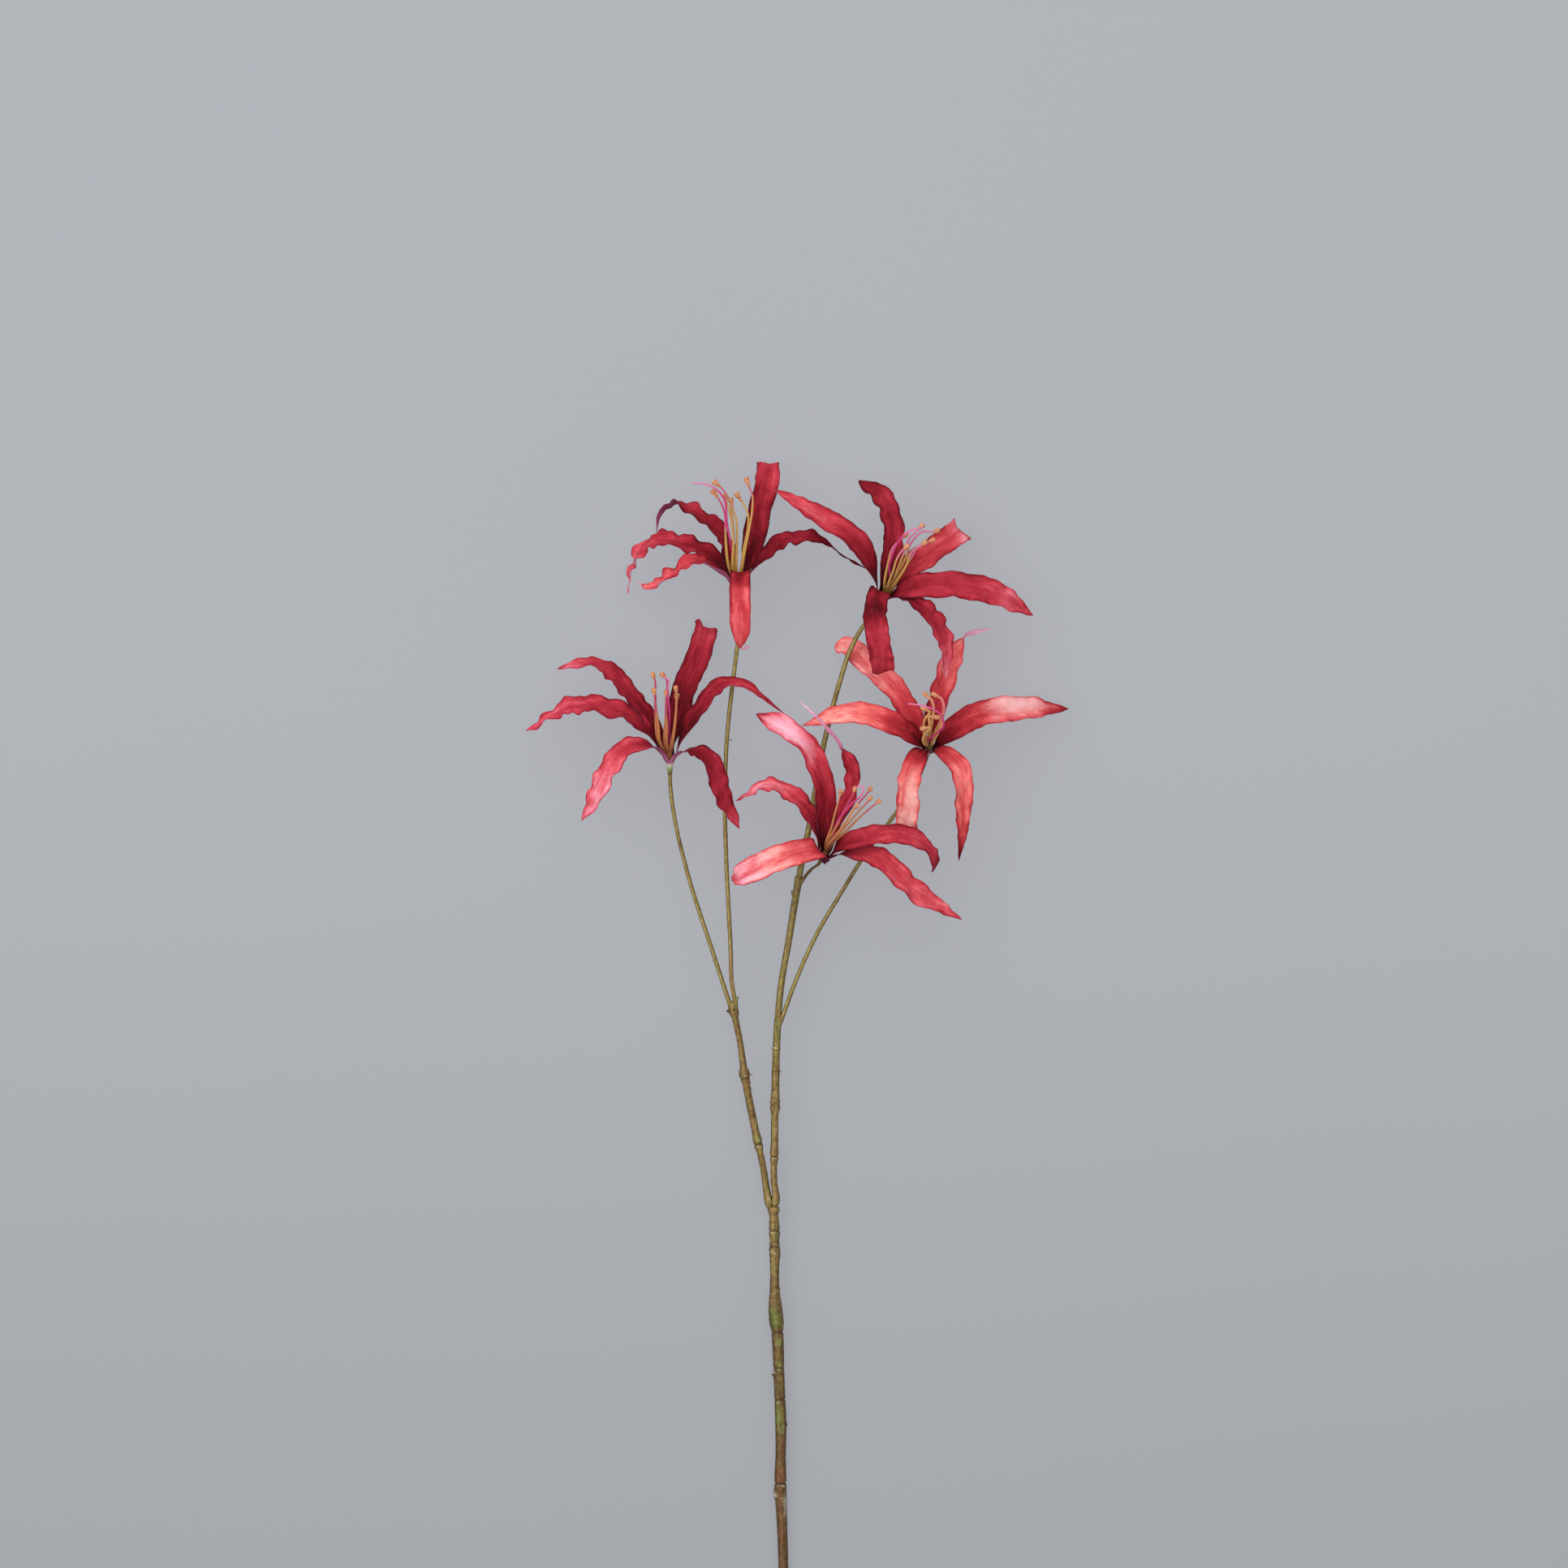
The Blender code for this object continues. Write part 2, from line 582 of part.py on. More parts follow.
def blade(name, bloom, index):
    """One tepal: a thin waved strip whose middle column is sunk, split alike on both faces."""
    width, face, tip_turn, narrows, points = bloom["tepals"][index]
    heart = np.asarray(bloom["heart"])
    axis = unit(bloom["axis"])
    front = unit(np.array((0.0, 0.0, 1.0)) - axis[2] * axis)
    angle = math.radians(bloom["phase"] + 60.0 * index)
    radial = front * math.cos(angle) + np.cross(axis, front) * math.sin(angle)
    root = heart + radial * ROOT_RING
    route = [root - axis * ROOT_DEPTH, root + axis * CLAW_RISE, *(heart + np.asarray(points))]
    curve, along = curve_through(route)
    tangents, sides = carried_sides(curve, np.cross(axis, radial))
    at = along / along[-1]

    # The strip turns evenly until its inner face looks the way that is wanted at mid length.
    middle = np.searchsorted(at, 0.5)
    wanted = np.asarray(face, float)
    wanted = unit(wanted - wanted.dot(tangents[middle]) * tangents[middle])
    carried = np.cross(tangents[middle], sides[middle])
    turn = math.atan2(-wanted.dot(sides[middle]), wanted.dot(carried))
    turns = turn * smooth_step((at - 0.06) / 0.4) + math.radians(tip_turn) * smooth_step((at - 0.55) / 0.4)
    normals = np.cross(tangents, sides)
    sides, normals = (
        sides * np.cos(turns)[:, None] + normals * np.sin(turns)[:, None],
        normals * np.cos(turns)[:, None] - sides * np.sin(turns)[:, None],
    )

    stations = np.linspace(0.0, 1.0, BLADE_STATIONS + 1)
    centre = read_at(curve, at, stations)
    side = unit(read_at(sides, at, stations))
    normal = unit(read_at(normals, at, stations))
    half = blade_width(stations, width, narrows) / 2
    half[-1] = half[-2] * TIP_SHARE
    waved = WAVE_HEIGHT * smooth_step((stations - 0.15) / 0.3)
    left = waved * np.sin(math.tau * WAVES * stations + index)
    right = waved * np.sin(math.tau * WAVES * stations + WAVE_SHIFT + 2.3 * index)
    depth = CHANNEL_DEPTH * smooth_step((stations - 0.06) / 0.15) * (1.0 - 0.65 * stations)
    across = np.stack([-half, 0.0 * half, half], axis=1)
    height = np.stack([left, -depth, right], axis=1)
    middle_sheet = centre[:, None] + across[:, :, None] * side[:, None] + height[:, :, None] * normal[:, None]
    thick = normal[:, None] * BLADE_THICKNESS / 2
    points = np.concatenate([middle_sheet + thick, middle_sheet - thick]).reshape(-1, 3)
    return new_object(name, points, blade_faces(BLADE_STATIONS))


def blade_faces(count):
    """Triangles of a strip with three columns: inner face, the same cells turned over, and the rim."""
    faces = []
    under = (count + 1) * 3

    def rim(a, b):
        faces.append((a, a + under, b + under))
        faces.append((a, b + under, b))

    for row in range(count):
        for column in range(2):
            a = row * 3 + column
            b, c, d = a + 1, a + 4, a + 3
            cells = ((a, d, c), (a, c, b)) if column == 0 else ((a, d, b), (b, d, c))
            for cell in cells:
                faces.append(cell)
                faces.append(tuple(corner + under for corner in reversed(cell)))
        rim(row * 3, row * 3 + 3)
        rim(row * 3 + 5, row * 3 + 2)
    for column in range(2):
        rim(column + 1, column)
        rim(count * 3 + column, count * 3 + column + 1)
    return faces


def tepals(number, bloom):
    heart = np.asarray(bloom["heart"])
    axis = unit(bloom["axis"]) * HUB_HEIGHT / 2
    hub = tube("hub", (heart - axis, heart + axis), ((0.0, HUB_RADIUS), (1.0, HUB_RADIUS)), 12)
    blades = [blade(f"blade_{index}", bloom, index) for index in range(6)]
    finish(fused(f"tepals_{number}", [hub, *blades]), "tepal", 70.0)


def across_axis(bloom, points):
    """The parts of some offsets from the heart that lie square to the bloom's axis."""
    axis = unit(bloom["axis"])
    offsets = np.asarray(points, float)
    return offsets - offsets.dot(axis)[..., None] * axis


def root_ring(bloom):
    """Where the style stands on the plug: its direction, and the direction a quarter turn on."""
    leaning = across_axis(bloom, bloom["style"][-1]) - across_axis(bloom, bloom["anthers"]).mean(axis=0)
    first = unit(leaning)
    return first, np.cross(unit(bloom["axis"]), first)


def stamens(number, bloom):
    """Six filaments that end in anthers, on a small plug that stands on the hub."""
    heart = np.asarray(bloom["heart"])
    axis = unit(bloom["axis"])
    foot = heart + axis * (HUB_HEIGHT / 2 + GAP)
    top = foot + axis * PLUG_HEIGHT
    pieces = [tube("plug", (foot, top), ((0.0, PLUG_RADIUS), (1.0, PLUG_RADIUS)), 8)]
    first, second = root_ring(bloom)
    tips = np.asarray(bloom["anthers"])
    spread = across_axis(bloom, tips)
    spread = spread - spread.mean(axis=0)
    order = np.argsort(np.arctan2(spread.dot(second), spread.dot(first)) % math.tau)
    angles = np.radians(np.linspace(*FILAMENT_ARC, len(order)))
    for index, angle in zip(order, angles):
        tip = heart + tips[index]
        outward = first * math.cos(angle) + second * math.sin(angle)
        start = top - axis * FILAMENT_DEPTH + outward * FILAMENT_RING
        bend = start + axis * np.linalg.norm(tip - start) * 0.5 + (bloom["bows"][index], 0.0, 0.0)
        t = np.linspace(0.0, 1.0, 7)[:, None]
        points = (1 - t) ** 2 * start + 2 * t * (1 - t) * bend + t**2 * tip
        neck = 1.0 - ANTHER_LENGTH / curve_through(points)[1][-1]
        wide, narrow = FILAMENT_RADII
        thread = [(at, wide + (narrow - wide) * at) for at in np.linspace(0.0, neck, 6)]
        steps = np.linspace(neck, 1.0, len(ANTHER_RADII) + 1)[1:]
        pieces.append(tube(f"stamen_{index}", points, (*thread, *zip(steps, ANTHER_RADII)), 4))
    finish(fused(f"stamens_{number}", pieces), "stamen", 60.0)


def style(number, bloom):
    """A thin thread that rises from the plug beside the filaments and ends in a hook."""
    heart = np.asarray(bloom["heart"])
    axis = unit(bloom["axis"])
    foot = heart + axis * (HUB_HEIGHT / 2 + GAP + PLUG_HEIGHT + GAP) + root_ring(bloom)[0] * STYLE_RING
    points = (foot, foot + axis * LEAD, *(heart + np.asarray(bloom["style"])))
    made = tube(f"style_{number}", points, even_radii(STYLE_RADIUS, STYLE_RADIUS, 14), 4)
    finish(made, "style")


def main():
    for old in list(bpy.data.objects):
        bpy.data.objects.remove(old)
    main_stem()
    left_branch()
    right_branch()
    for number, (spec, bloom) in enumerate(zip(PEDICELS, BLOOMS), 1):
        pedicel(number, spec, bloom)
        receptacle(number, bloom)
        tepals(number, bloom)
        stamens(number, bloom)
        style(number, bloom)


main()
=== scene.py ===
import json
import math

import bpy
import numpy as np
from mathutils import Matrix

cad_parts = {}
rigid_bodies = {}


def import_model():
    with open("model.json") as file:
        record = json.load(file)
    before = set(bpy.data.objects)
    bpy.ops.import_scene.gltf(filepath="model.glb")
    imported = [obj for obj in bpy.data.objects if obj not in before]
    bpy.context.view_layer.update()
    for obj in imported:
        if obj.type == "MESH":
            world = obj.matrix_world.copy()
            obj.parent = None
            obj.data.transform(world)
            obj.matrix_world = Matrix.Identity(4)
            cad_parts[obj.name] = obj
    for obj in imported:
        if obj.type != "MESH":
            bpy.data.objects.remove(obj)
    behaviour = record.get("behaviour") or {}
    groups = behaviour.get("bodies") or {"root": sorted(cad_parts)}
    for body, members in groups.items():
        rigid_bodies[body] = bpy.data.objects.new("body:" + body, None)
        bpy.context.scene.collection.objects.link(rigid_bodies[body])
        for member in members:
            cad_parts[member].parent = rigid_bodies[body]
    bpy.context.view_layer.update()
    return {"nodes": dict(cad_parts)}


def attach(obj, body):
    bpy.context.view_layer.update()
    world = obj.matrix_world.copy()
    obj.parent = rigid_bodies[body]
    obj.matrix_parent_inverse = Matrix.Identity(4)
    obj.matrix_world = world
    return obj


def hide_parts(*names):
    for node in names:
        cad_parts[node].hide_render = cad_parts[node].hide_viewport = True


# A nerine flower stem with five blooms, lying on its back on a pale table: printed cloth tepals on
# moulded stems. Lists are in millimetres, and mm turns them into metres where a mesh is made.

for old in list(bpy.data.objects):
    bpy.data.objects.remove(old)
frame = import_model()
print("frame loaded:", len(frame["nodes"]), "nodes")

mm = 0.001
tau = math.tau
place = np.array((0.8, -0.6, 0.0))  # moves the middle of the footprint onto the origin


# Numbers and curves

def unit(vectors):
    vectors = np.asarray(vectors, float)
    return vectors / np.linalg.norm(vectors, axis=-1, keepdims=True)


def smoothStep(value, low=0.0, high=1.0):
    # 0 below low, 1 above high, and 3t^2 - 2t^3 between
    t = np.clip((np.asarray(value, float) - low) / (high - low), 0.0, 1.0)
    return t * t * (3.0 - 2.0 * t)


def bell(value, middle, spread):
    # a bump of height 1: e to the minus square of the distance from the middle, over the spread
    return np.exp(-(((np.asarray(value, float) - middle) / spread) ** 2))


def wobble(at, waves, seed, count=6):
    # a soft random curve of height about 1: sines near one frequency with seeded phases
    draw = np.random.default_rng(seed)
    frequencies = waves * draw.uniform(0.55, 1.5, count)
    phases = draw.uniform(0.0, tau, count)
    return np.sin(tau * np.multiply.outer(at, frequencies) + phases).sum(axis=-1) / math.sqrt(count)


def alongStops(stops, at):
    # one number, or pairs of (part of the length, value) joined by straight lines
    if isinstance(stops, (int, float)):
        return np.full_like(at, float(stops))
    places, values = np.array(stops, float).T
    return np.interp(at, places, values)


def curveThrough(points, samples=500):
    # cubic pieces through given points, and the distance along the curve at each sample
    points = np.asarray(points, float)
    knots = np.append(0.0, np.cumsum(np.linalg.norm(np.diff(points, axis=0), axis=1)))
    slopes = np.gradient(points, knots, axis=0)
    at = np.linspace(0.0, knots[-1], samples)
    piece = np.clip(np.searchsorted(knots, at, side="right") - 1, 0, len(points) - 2)
    span = (knots[piece + 1] - knots[piece])[:, None]
    t = (at - knots[piece])[:, None] / span
    curve = (
        (2 * t**3 - 3 * t**2 + 1) * points[piece]
        + (t**3 - 2 * t**2 + t) * span * slopes[piece]
        + (3 * t**2 - 2 * t**3) * points[piece + 1]
        + (t**3 - t**2) * span * slopes[piece + 1]
    )
    along = np.append(0.0, np.cumsum(np.linalg.norm(np.diff(curve, axis=0), axis=1)))
    return curve, along


def carriedSides(curve, first):
    # tangents, and a side vector carried from station to station without turning about them
    tangents = unit(np.gradient(curve, axis=0))
    sides = np.empty_like(curve)
    side = np.asarray(first, float)
    for station, tangent in enumerate(tangents):
        side = unit(side - side.dot(tangent) * tangent)
        sides[station] = side
    return tangents, sides


def readAt(values, along, distances):
    return np.stack([np.interp(distances, along, column) for column in values.T], axis=1)


# Meshes: a part is its points, its four-cornered faces and one number or vector a point for each
# attribute that its material reads.

def gridCells(rows, columns, wrap=False):
    # cell (i, j) has corners (i, j), (i, j + 1), (i + 1, j + 1), (i + 1, j)
    numbers = np.arange(rows * columns).reshape(rows, columns)
    if wrap:
        numbers = np.column_stack([numbers, numbers[:, 0]])
    corners = numbers[:-1, :-1], numbers[:-1, 1:], numbers[1:, 1:], numbers[1:, :-1]
    return np.stack(corners, axis=-1).reshape(-1, 4)


def closedTube(centres, sides, others, radii, values):
    # point = centre + radius * (cos(a) * side + sin(a) * other), with each end drawn in to a pole
    rows, count = radii.shape
    angles = np.arange(count) * tau / count
    ring = np.cos(angles)[:, None] * sides[:, None] + np.sin(angles)[:, None] * others[:, None]
    points = centres[:, None] + radii[:, :, None] * ring
    points = np.concatenate([centres[:1], points.reshape(-1, 3), centres[-1:]])
    cells = gridCells(rows, count, wrap=True) + 1
    around = np.arange(count)
    after = (around + 1) % count
    pole = rows * count + 1
    lastRing = pole - count
    first = np.stack([np.zeros(count, int), after + 1, around + 1], axis=1)
    last = np.stack([np.full(count, pole), lastRing + around, lastRing + after], axis=1)
    perPoint = {}
    for name, value in values.items():
        value = np.asarray(value, float)
        if value.ndim == 1:
            value = np.repeat(value, count)
        else:
            value = value.reshape(rows * count, *value.shape[2:])
        perPoint[name] = np.concatenate([value[:1], value, value[-1:]])
    return dict(points=points, faces=[cells, first, last], values=perPoint)


def roundSpots(angle, distance, width, seed):
    # a place for the noise to be read at: on a ring of the given width, and along the piece in cm
    across = np.cos(angle)[None, :] * width
    over = np.sin(angle)[None, :] * width
    return np.stack(np.broadcast_arrays(across, over, distance[:, None] * 0.1 + seed), axis=-1)


def addPiece(name, parts, material, node, smoothAngle=60.0):
    # one mesh from several parts, in place, which rides on the root body and stands for its node
    points = []
    faces = []
    values = {}
    start = 0
    for part in parts:
        points.append(part["points"])
        for group in part["faces"]:
            faces.extend((group + start).tolist())
        for key, value in part["values"].items():
            values.setdefault(key, []).append(value)
        start += len(part["points"])
    mesh = bpy.data.meshes.new(name)
    mesh.from_pydata((np.concatenate(points) + place) * mm, [], faces)
    mesh.update()
    for key, value in values.items():
        value = np.concatenate(value)
        if value.ndim == 1:
            mesh.attributes.new(key, "FLOAT", "POINT").data.foreach_set("value", value)
        else:
            mesh.attributes.new(key, "FLOAT_VECTOR", "POINT").data.foreach_set("vector", value.ravel())
    mesh.materials.append(material)
    mesh.shade_smooth()
    mesh.set_sharp_from_angle(angle=math.radians(smoothAngle))
    made = bpy.data.objects.new(name, mesh)
    bpy.context.scene.collection.objects.link(made)
    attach(made, "root")
    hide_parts(node)
    return made


# Materials

def colour(red, green, blue):
    # screen values of 0 to 255 as the linear numbers that a shader takes
    shares = np.array((red, green, blue)) / 255.0
    linear = np.where(shares <= 0.04045, shares / 12.92, ((shares + 0.055) / 1.055) ** 2.4)
    return tuple(linear.tolist())


class Wire:
    # one output socket of a material: sums and products on it add Math nodes

    def __init__(self, tree, socket=None):
        self.tree = tree
        self.socket = socket

    def node(self, kind, settings, values, output=0):
        # any node: its settings first, then the value or link of each socket
        made = self.tree.nodes.new("ShaderNode" + kind)
        for name, setting in settings.items():
            if name == "stops":
                elements = made.color_ramp.elements
                while len(elements) < len(setting):
                    elements.new(1.0)
                for element, (position, tint) in zip(elements, setting):
                    element.position = position
                    element.color = (*tint, 1.0)
            else:
                setattr(made, name, setting)
        for name, value in values.items():
            socket = made.inputs[name]
            if isinstance(value, Wire):
                self.tree.links.new(value.socket, socket)
            elif socket.type == "RGBA":
                socket.default_value = (*value, 1.0)
            else:
                socket.default_value = value
        return Wire(self.tree, made.outputs[output] if made.outputs else None)

    def maths(self, operation, first, second):
        return self.node("Math", {"operation": operation}, {0: first, 1: second})

    def __add__(self, other):
        return self.maths("ADD", self, other)

    __radd__ = __add__

    def __mul__(self, other):
        return self.maths("MULTIPLY", self, other)

    __rmul__ = __mul__

    def __sub__(self, other):
        return self.maths("SUBTRACT", self, other)

    def __rsub__(self, other):
        return self.maths("SUBTRACT", other, self)


def newMaterial(name):
    material = bpy.data.materials.new(name)
    material.use_nodes = True
    material.node_tree.nodes.clear()
    return material, Wire(material.node_tree)


def scalar(make, name):
    return make.node("Attribute", {"attribute_name": name}, {}, 2)


def vector(make, name):
    return make.node("Attribute", {"attribute_name": name}, {}, 1)


def stretched(wire, factors):
    return wire.node("VectorMath", {"operation": "MULTIPLY"}, {0: wire, 1: factors})


def grain(wire, factors, detail=2.0, roughness=0.5):
    # noise with about one blotch a unit, once the place is multiplied by the factors
    values = {"Vector": stretched(wire, factors), "Scale": 1.0, "Detail": detail, "Roughness": roughness}
    return wire.node("TexNoise", {}, values)


def between(wire, low, high):
    # 0 below low, 1 above high, smooth between
    values = {0: wire, 1: low, 2: high, 3: 0.0, 4: 1.0}
    return wire.node("MapRange", {"interpolation_type": "SMOOTHSTEP"}, values)


def blend(make, under, over, amount):
    return make.node("Mix", {"data_type": "RGBA"}, {0: amount, 6: under, 7: over}, 2)


def ramp(wire, stops):
    # colours in screen values, each with its place
    tints = [(at, colour(*tint)) for at, tint in stops]
    return wire.node("ValToRGB", {"stops": tints}, {0: wire})


def finishSurface(make, tint, roughness, height, depth, constants):
    # the shader, with a bump whose depth is in metres
    bump = make.node("Bump", {}, {"Strength": 1.0, "Distance": depth, "Height": height})
    values = {"Base Color": tint, "Roughness": roughness, "Normal": bump, **constants}
    shader = make.node("BsdfPrincipled", {}, values)
    make.node("OutputMaterial", {}, {"Surface": shader})


clothLook = dict(
    cool=((0.0, (74, 4, 14)), (0.2, (116, 13, 28)), (0.4, (150, 30, 46)),
          (0.6, (184, 50, 66)), (0.8, (218, 88, 106)), (1.0, (245, 154, 176))),
    warm=((0.0, (84, 6, 14)), (0.2, (132, 19, 30)), (0.4, (170, 42, 50)),
          (0.6, (204, 70, 72)), (0.8, (234, 114, 108)), (1.0, (250, 180, 166))),
    under=((0.0, (90, 18, 42)), (0.35, (158, 78, 110)), (0.7, (206, 134, 165)), (1.0, (246, 192, 216))),
    paleCool=(250, 192, 212),
    paleWarm=(250, 190, 174),
    speck=(244, 226, 228),
)


def petalCloth():
    # printed cloth: tone runs from the dark throat to the pale tip, blotched like wet dye, darker by the
    # cut edge from soaked dye and painted shade, with painted shade on the midrib crease and in hollows,
    # faint veins and white flecks
    material, make = newMaterial("petal cloth")
    cloth = vector(make, "cloth")  # across, along and a shift for each tepal, in centimetres
    rim = scalar(make, "rim")  # millimetres from the cut edge
    middle = scalar(make, "middle")  # millimetres from the midrib
    warmth = scalar(make, "warm")
    veins = grain(cloth, (7.0, 0.9, 1.0), 3.0) - 0.5
    fineVeins = grain(cloth, (17.0, 4.0, 3.0)) - 0.5
    pools = grain(cloth, (1.8, 0.6, 7.0)) - 0.5
    mottle = grain(cloth, (4.0, 2.0, 5.0), 4.0, 0.62) - 0.5
    threads = grain(cloth, (26.0, 26.0, 7.0)) - 0.5

    # where it is darker: by the cut edge (soaked dye and painted shade), on its very line, and with
    # painted shade on the midrib crease and in hollows
    edgeSoakAndShade = between(rim + pools * 3.0 + mottle * 1.5, 2.6, 0.0)
    line = between(rim + mottle * 0.9, 0.62, 0.1)
    # painted shade along the midrib crease
    crease = between(middle + mottle * 0.9, 0.6, 0.1) * scalar(make, "crease")
    crease = crease * between(pools + veins * 0.6, -0.12, 0.12)
    # painted shade in the sheet's hollows, read from its height
    hollowShade = between(scalar(make, "relief"), -0.6, -2.2)
    printed = scalar(make, "tone") + pools * 0.6 + mottle * 0.22 + veins * 0.25
    printed = printed + fineVeins * 0.12 + threads * 0.2
    printed = printed - edgeSoakAndShade * 0.15 - line * 0.2 - crease * 0.17 - hollowShade * 0.07 + 0.04
    tint = blend(make, ramp(printed, clothLook["cool"]), ramp(printed, clothLook["warm"]), warmth)

    palest = blend(make, colour(*clothLook["paleCool"]), colour(*clothLook["paleWarm"]), warmth)
    wash = scalar(make, "pale") + mottle * 0.25 + veins * 0.2 + pools * 0.5 - edgeSoakAndShade * 0.3
    tint = blend(make, tint, palest, between(wash, 0.1, 1.3) * 0.92)
    under = ramp(scalar(make, "lilac") + mottle * 0.4 + veins * 0.4 + pools * 0.3, clothLook["under"])
    tint = blend(make, tint, under, scalar(make, "under"))

    # one cell in fifteen has a fleck
    cells = stretched(cloth, (4.5, 4.5, 1.0))
    dots = make.node("TexVoronoi", {}, {"Vector": cells, "Scale": 1.0}, 0)
    picked = make.node("TexVoronoi", {}, {"Vector": cells, "Scale": 1.0}, 1)
    chosen = between(make.node("SeparateColor", {}, {0: picked}, 0), 0.93, 0.94)
    speck = between(dots, 0.09, 0.05) * chosen
    tint = blend(make, tint, colour(*clothLook["speck"]), speck * 0.75)
    height = threads * 0.35 + fineVeins * 0.35 + mottle * 0.3
    roughness = 0.84 - speck * 0.3 - fineVeins * 0.2
    finishSurface(make, tint, roughness, height, 0.0003, {"Specular IOR Level": 0.14})
    return material


threadStreak = (110, 52, 30)
antherTints = ((0.3, (148, 78, 48)), (0.47, (202, 130, 92)), (0.66, (230, 172, 132)))
receptacleTints = ((0.06, (104, 72, 38)), (0.2, (98, 106, 46)), (0.45, (136, 148, 88)),
                   (0.66, (180, 184, 152)), (0.9, (190, 160, 182)))


def threadPaint(name, foot, body, top):
    # a filament or a style: tinted from foot to top, with fine streaks, and pink where it says so
    material, make = newMaterial(name)
    streak = grain(vector(make, "grain"), (9.0, 9.0, 1.5), 3.0) - 0.5
    tint = ramp(scalar(make, "rise") + streak * 0.3, ((0.0, foot), (0.35, body), (1.0, body)))
    tint = blend(make, tint, colour(*top), between(scalar(make, "pink") + streak * 0.5, 0.0, 1.0))
    tint = blend(make, tint, colour(*threadStreak), between(streak, 0.0, -0.2) * 0.3)
    finishSurface(make, tint, 0.5 + streak * 0.3, streak, 0.00015, {"Specular IOR Level": 0.3})
    return material


def antherGrain():
    # pollen: peach orange grains with darker pits
    material, make = newMaterial("anther grain")
    spot = vector(make, "grain")
    grains = grain(spot, (14.0, 14.0, 14.0), 3.0, 0.65)
    tint = ramp(grains * 0.7 + grain(spot, (3.0, 3.0, 3.0)) * 0.3, antherTints)
    finishSurface(make, tint, 0.75, grains, 0.0003, {"Specular IOR Level": 0.25})
    return material


barkLook = dict(
    base=((0.3, (84, 56, 28)), (0.5, (126, 95, 50)), (0.7, (160, 131, 80)), (0.88, (196, 172, 126))),
    olive=((0.3, (74, 66, 26)), (0.5, (120, 106, 46)), (0.7, (162, 144, 80)), (0.88, (200, 184, 126))),
    umber=((0.3, (50, 30, 14)), (0.5, (84, 58, 26)), (0.7, (112, 84, 44)), (0.88, (150, 120, 80))),
    moss=((0.3, (58, 60, 22)), (0.5, (92, 98, 40)), (0.7, (128, 138, 68))),
    rust=((0.3, (74, 40, 22)), (0.7, (134, 84, 54))),
    # the dark tint of the painted shade down both flanks
    seam=((0.35, (52, 46, 22)), (0.65, (88, 56, 32))),
    # the pale of chalky rubbed spots and of painted highlights
    chalk=(206, 194, 172),
    # the dark of the painted shade in ring grooves and nicks
    groove=(50, 30, 16),
)


def barkSkin(name):
    # moulded stem: brown and olive streaks, painted shade down both flanks, a painted highlight on the
    # crest, green and red patches, chalky rubbed spots and painted highlights on groove lips and bumps
    material, make = newMaterial(name)
    spot = vector(make, "grain")  # place round the stem and along it, in centimetres
    streaks = grain(spot, (9.0, 9.0, 0.7), 3.0, 0.6) - 0.5
    mottle = grain(spot, (5.0, 5.0, 3.0), 4.0, 0.6) - 0.5
    fine = grain(spot, (24.0, 24.0, 16.0)) - 0.5
    drift = grain(spot, (2.5, 2.5, 0.8)) - 0.5
    # a painted highlight down the crest lifts the tone
    shade = streaks * 0.7 + mottle * 0.65 + fine * 0.35 + scalar(make, "ridge") * 0.17 + 0.48
    layers = {key: ramp(shade, barkLook[key]) for key in ("base", "olive", "umber", "moss", "rust")}
    tint = blend(make, layers["base"], layers["olive"], scalar(make, "olive") + mottle * 1.2 + drift * 2.0)
    tint = blend(make, tint, layers["umber"], scalar(make, "umber") + streaks * 0.8)
    moss = between(scalar(make, "moss") + mottle * 1.5 + streaks * 0.8, 0.2, 0.85)
    tint = blend(make, tint, layers["moss"], moss * 0.85)
    rust = between(scalar(make, "rust") - drift * 1.6 + streaks * 0.8, 0.2, 0.9)
    tint = blend(make, tint, layers["rust"], rust * 0.65)
    # painted shade down both flanks of the stem
    seam = between(scalar(make, "seam") - mottle * 1.2 - streaks * 0.8, 0.1, 0.95)
    tint = blend(make, tint, ramp(streaks + 0.5, barkLook["seam"]), seam * 0.9)
    # painted shade in the ring grooves and nicks, with each tube also darker at both ends
    tint = blend(make, tint, colour(*barkLook["groove"]), scalar(make, "groove") * 0.85)
    # pale chalky rubbed spots, and painted highlights on groove lips and bumps that face the viewer
    rubbedAndHighlight = between(scalar(make, "chalk") + fine * 1.2 + mottle * 0.8, 0.5, 0.95)
    tint = blend(make, tint, colour(*barkLook["chalk"]), rubbedAndHighlight * 0.7)
    height = streaks * 0.4 + fine * 0.3 + mottle * 0.3
    finishSurface(make, tint, 0.42 + rubbedAndHighlight * 0.2 - fine * 0.2, height, 0.0005, {"Specular IOR Level": 0.3})
    return material


def receptacleSkin():
    # lilac white where it meets the tepals, green below, brown at the collar
    material, make = newMaterial("receptacle skin")
    streaks = grain(vector(make, "grain"), (8.0, 8.0, 1.5), 3.0)
    tint = ramp(scalar(make, "rise") + (streaks - 0.5) * 0.3, receptacleTints)
    finishSurface(make, tint, 0.55, streaks, 0.0002, {"Specular IOR Level": 0.35})
    return material


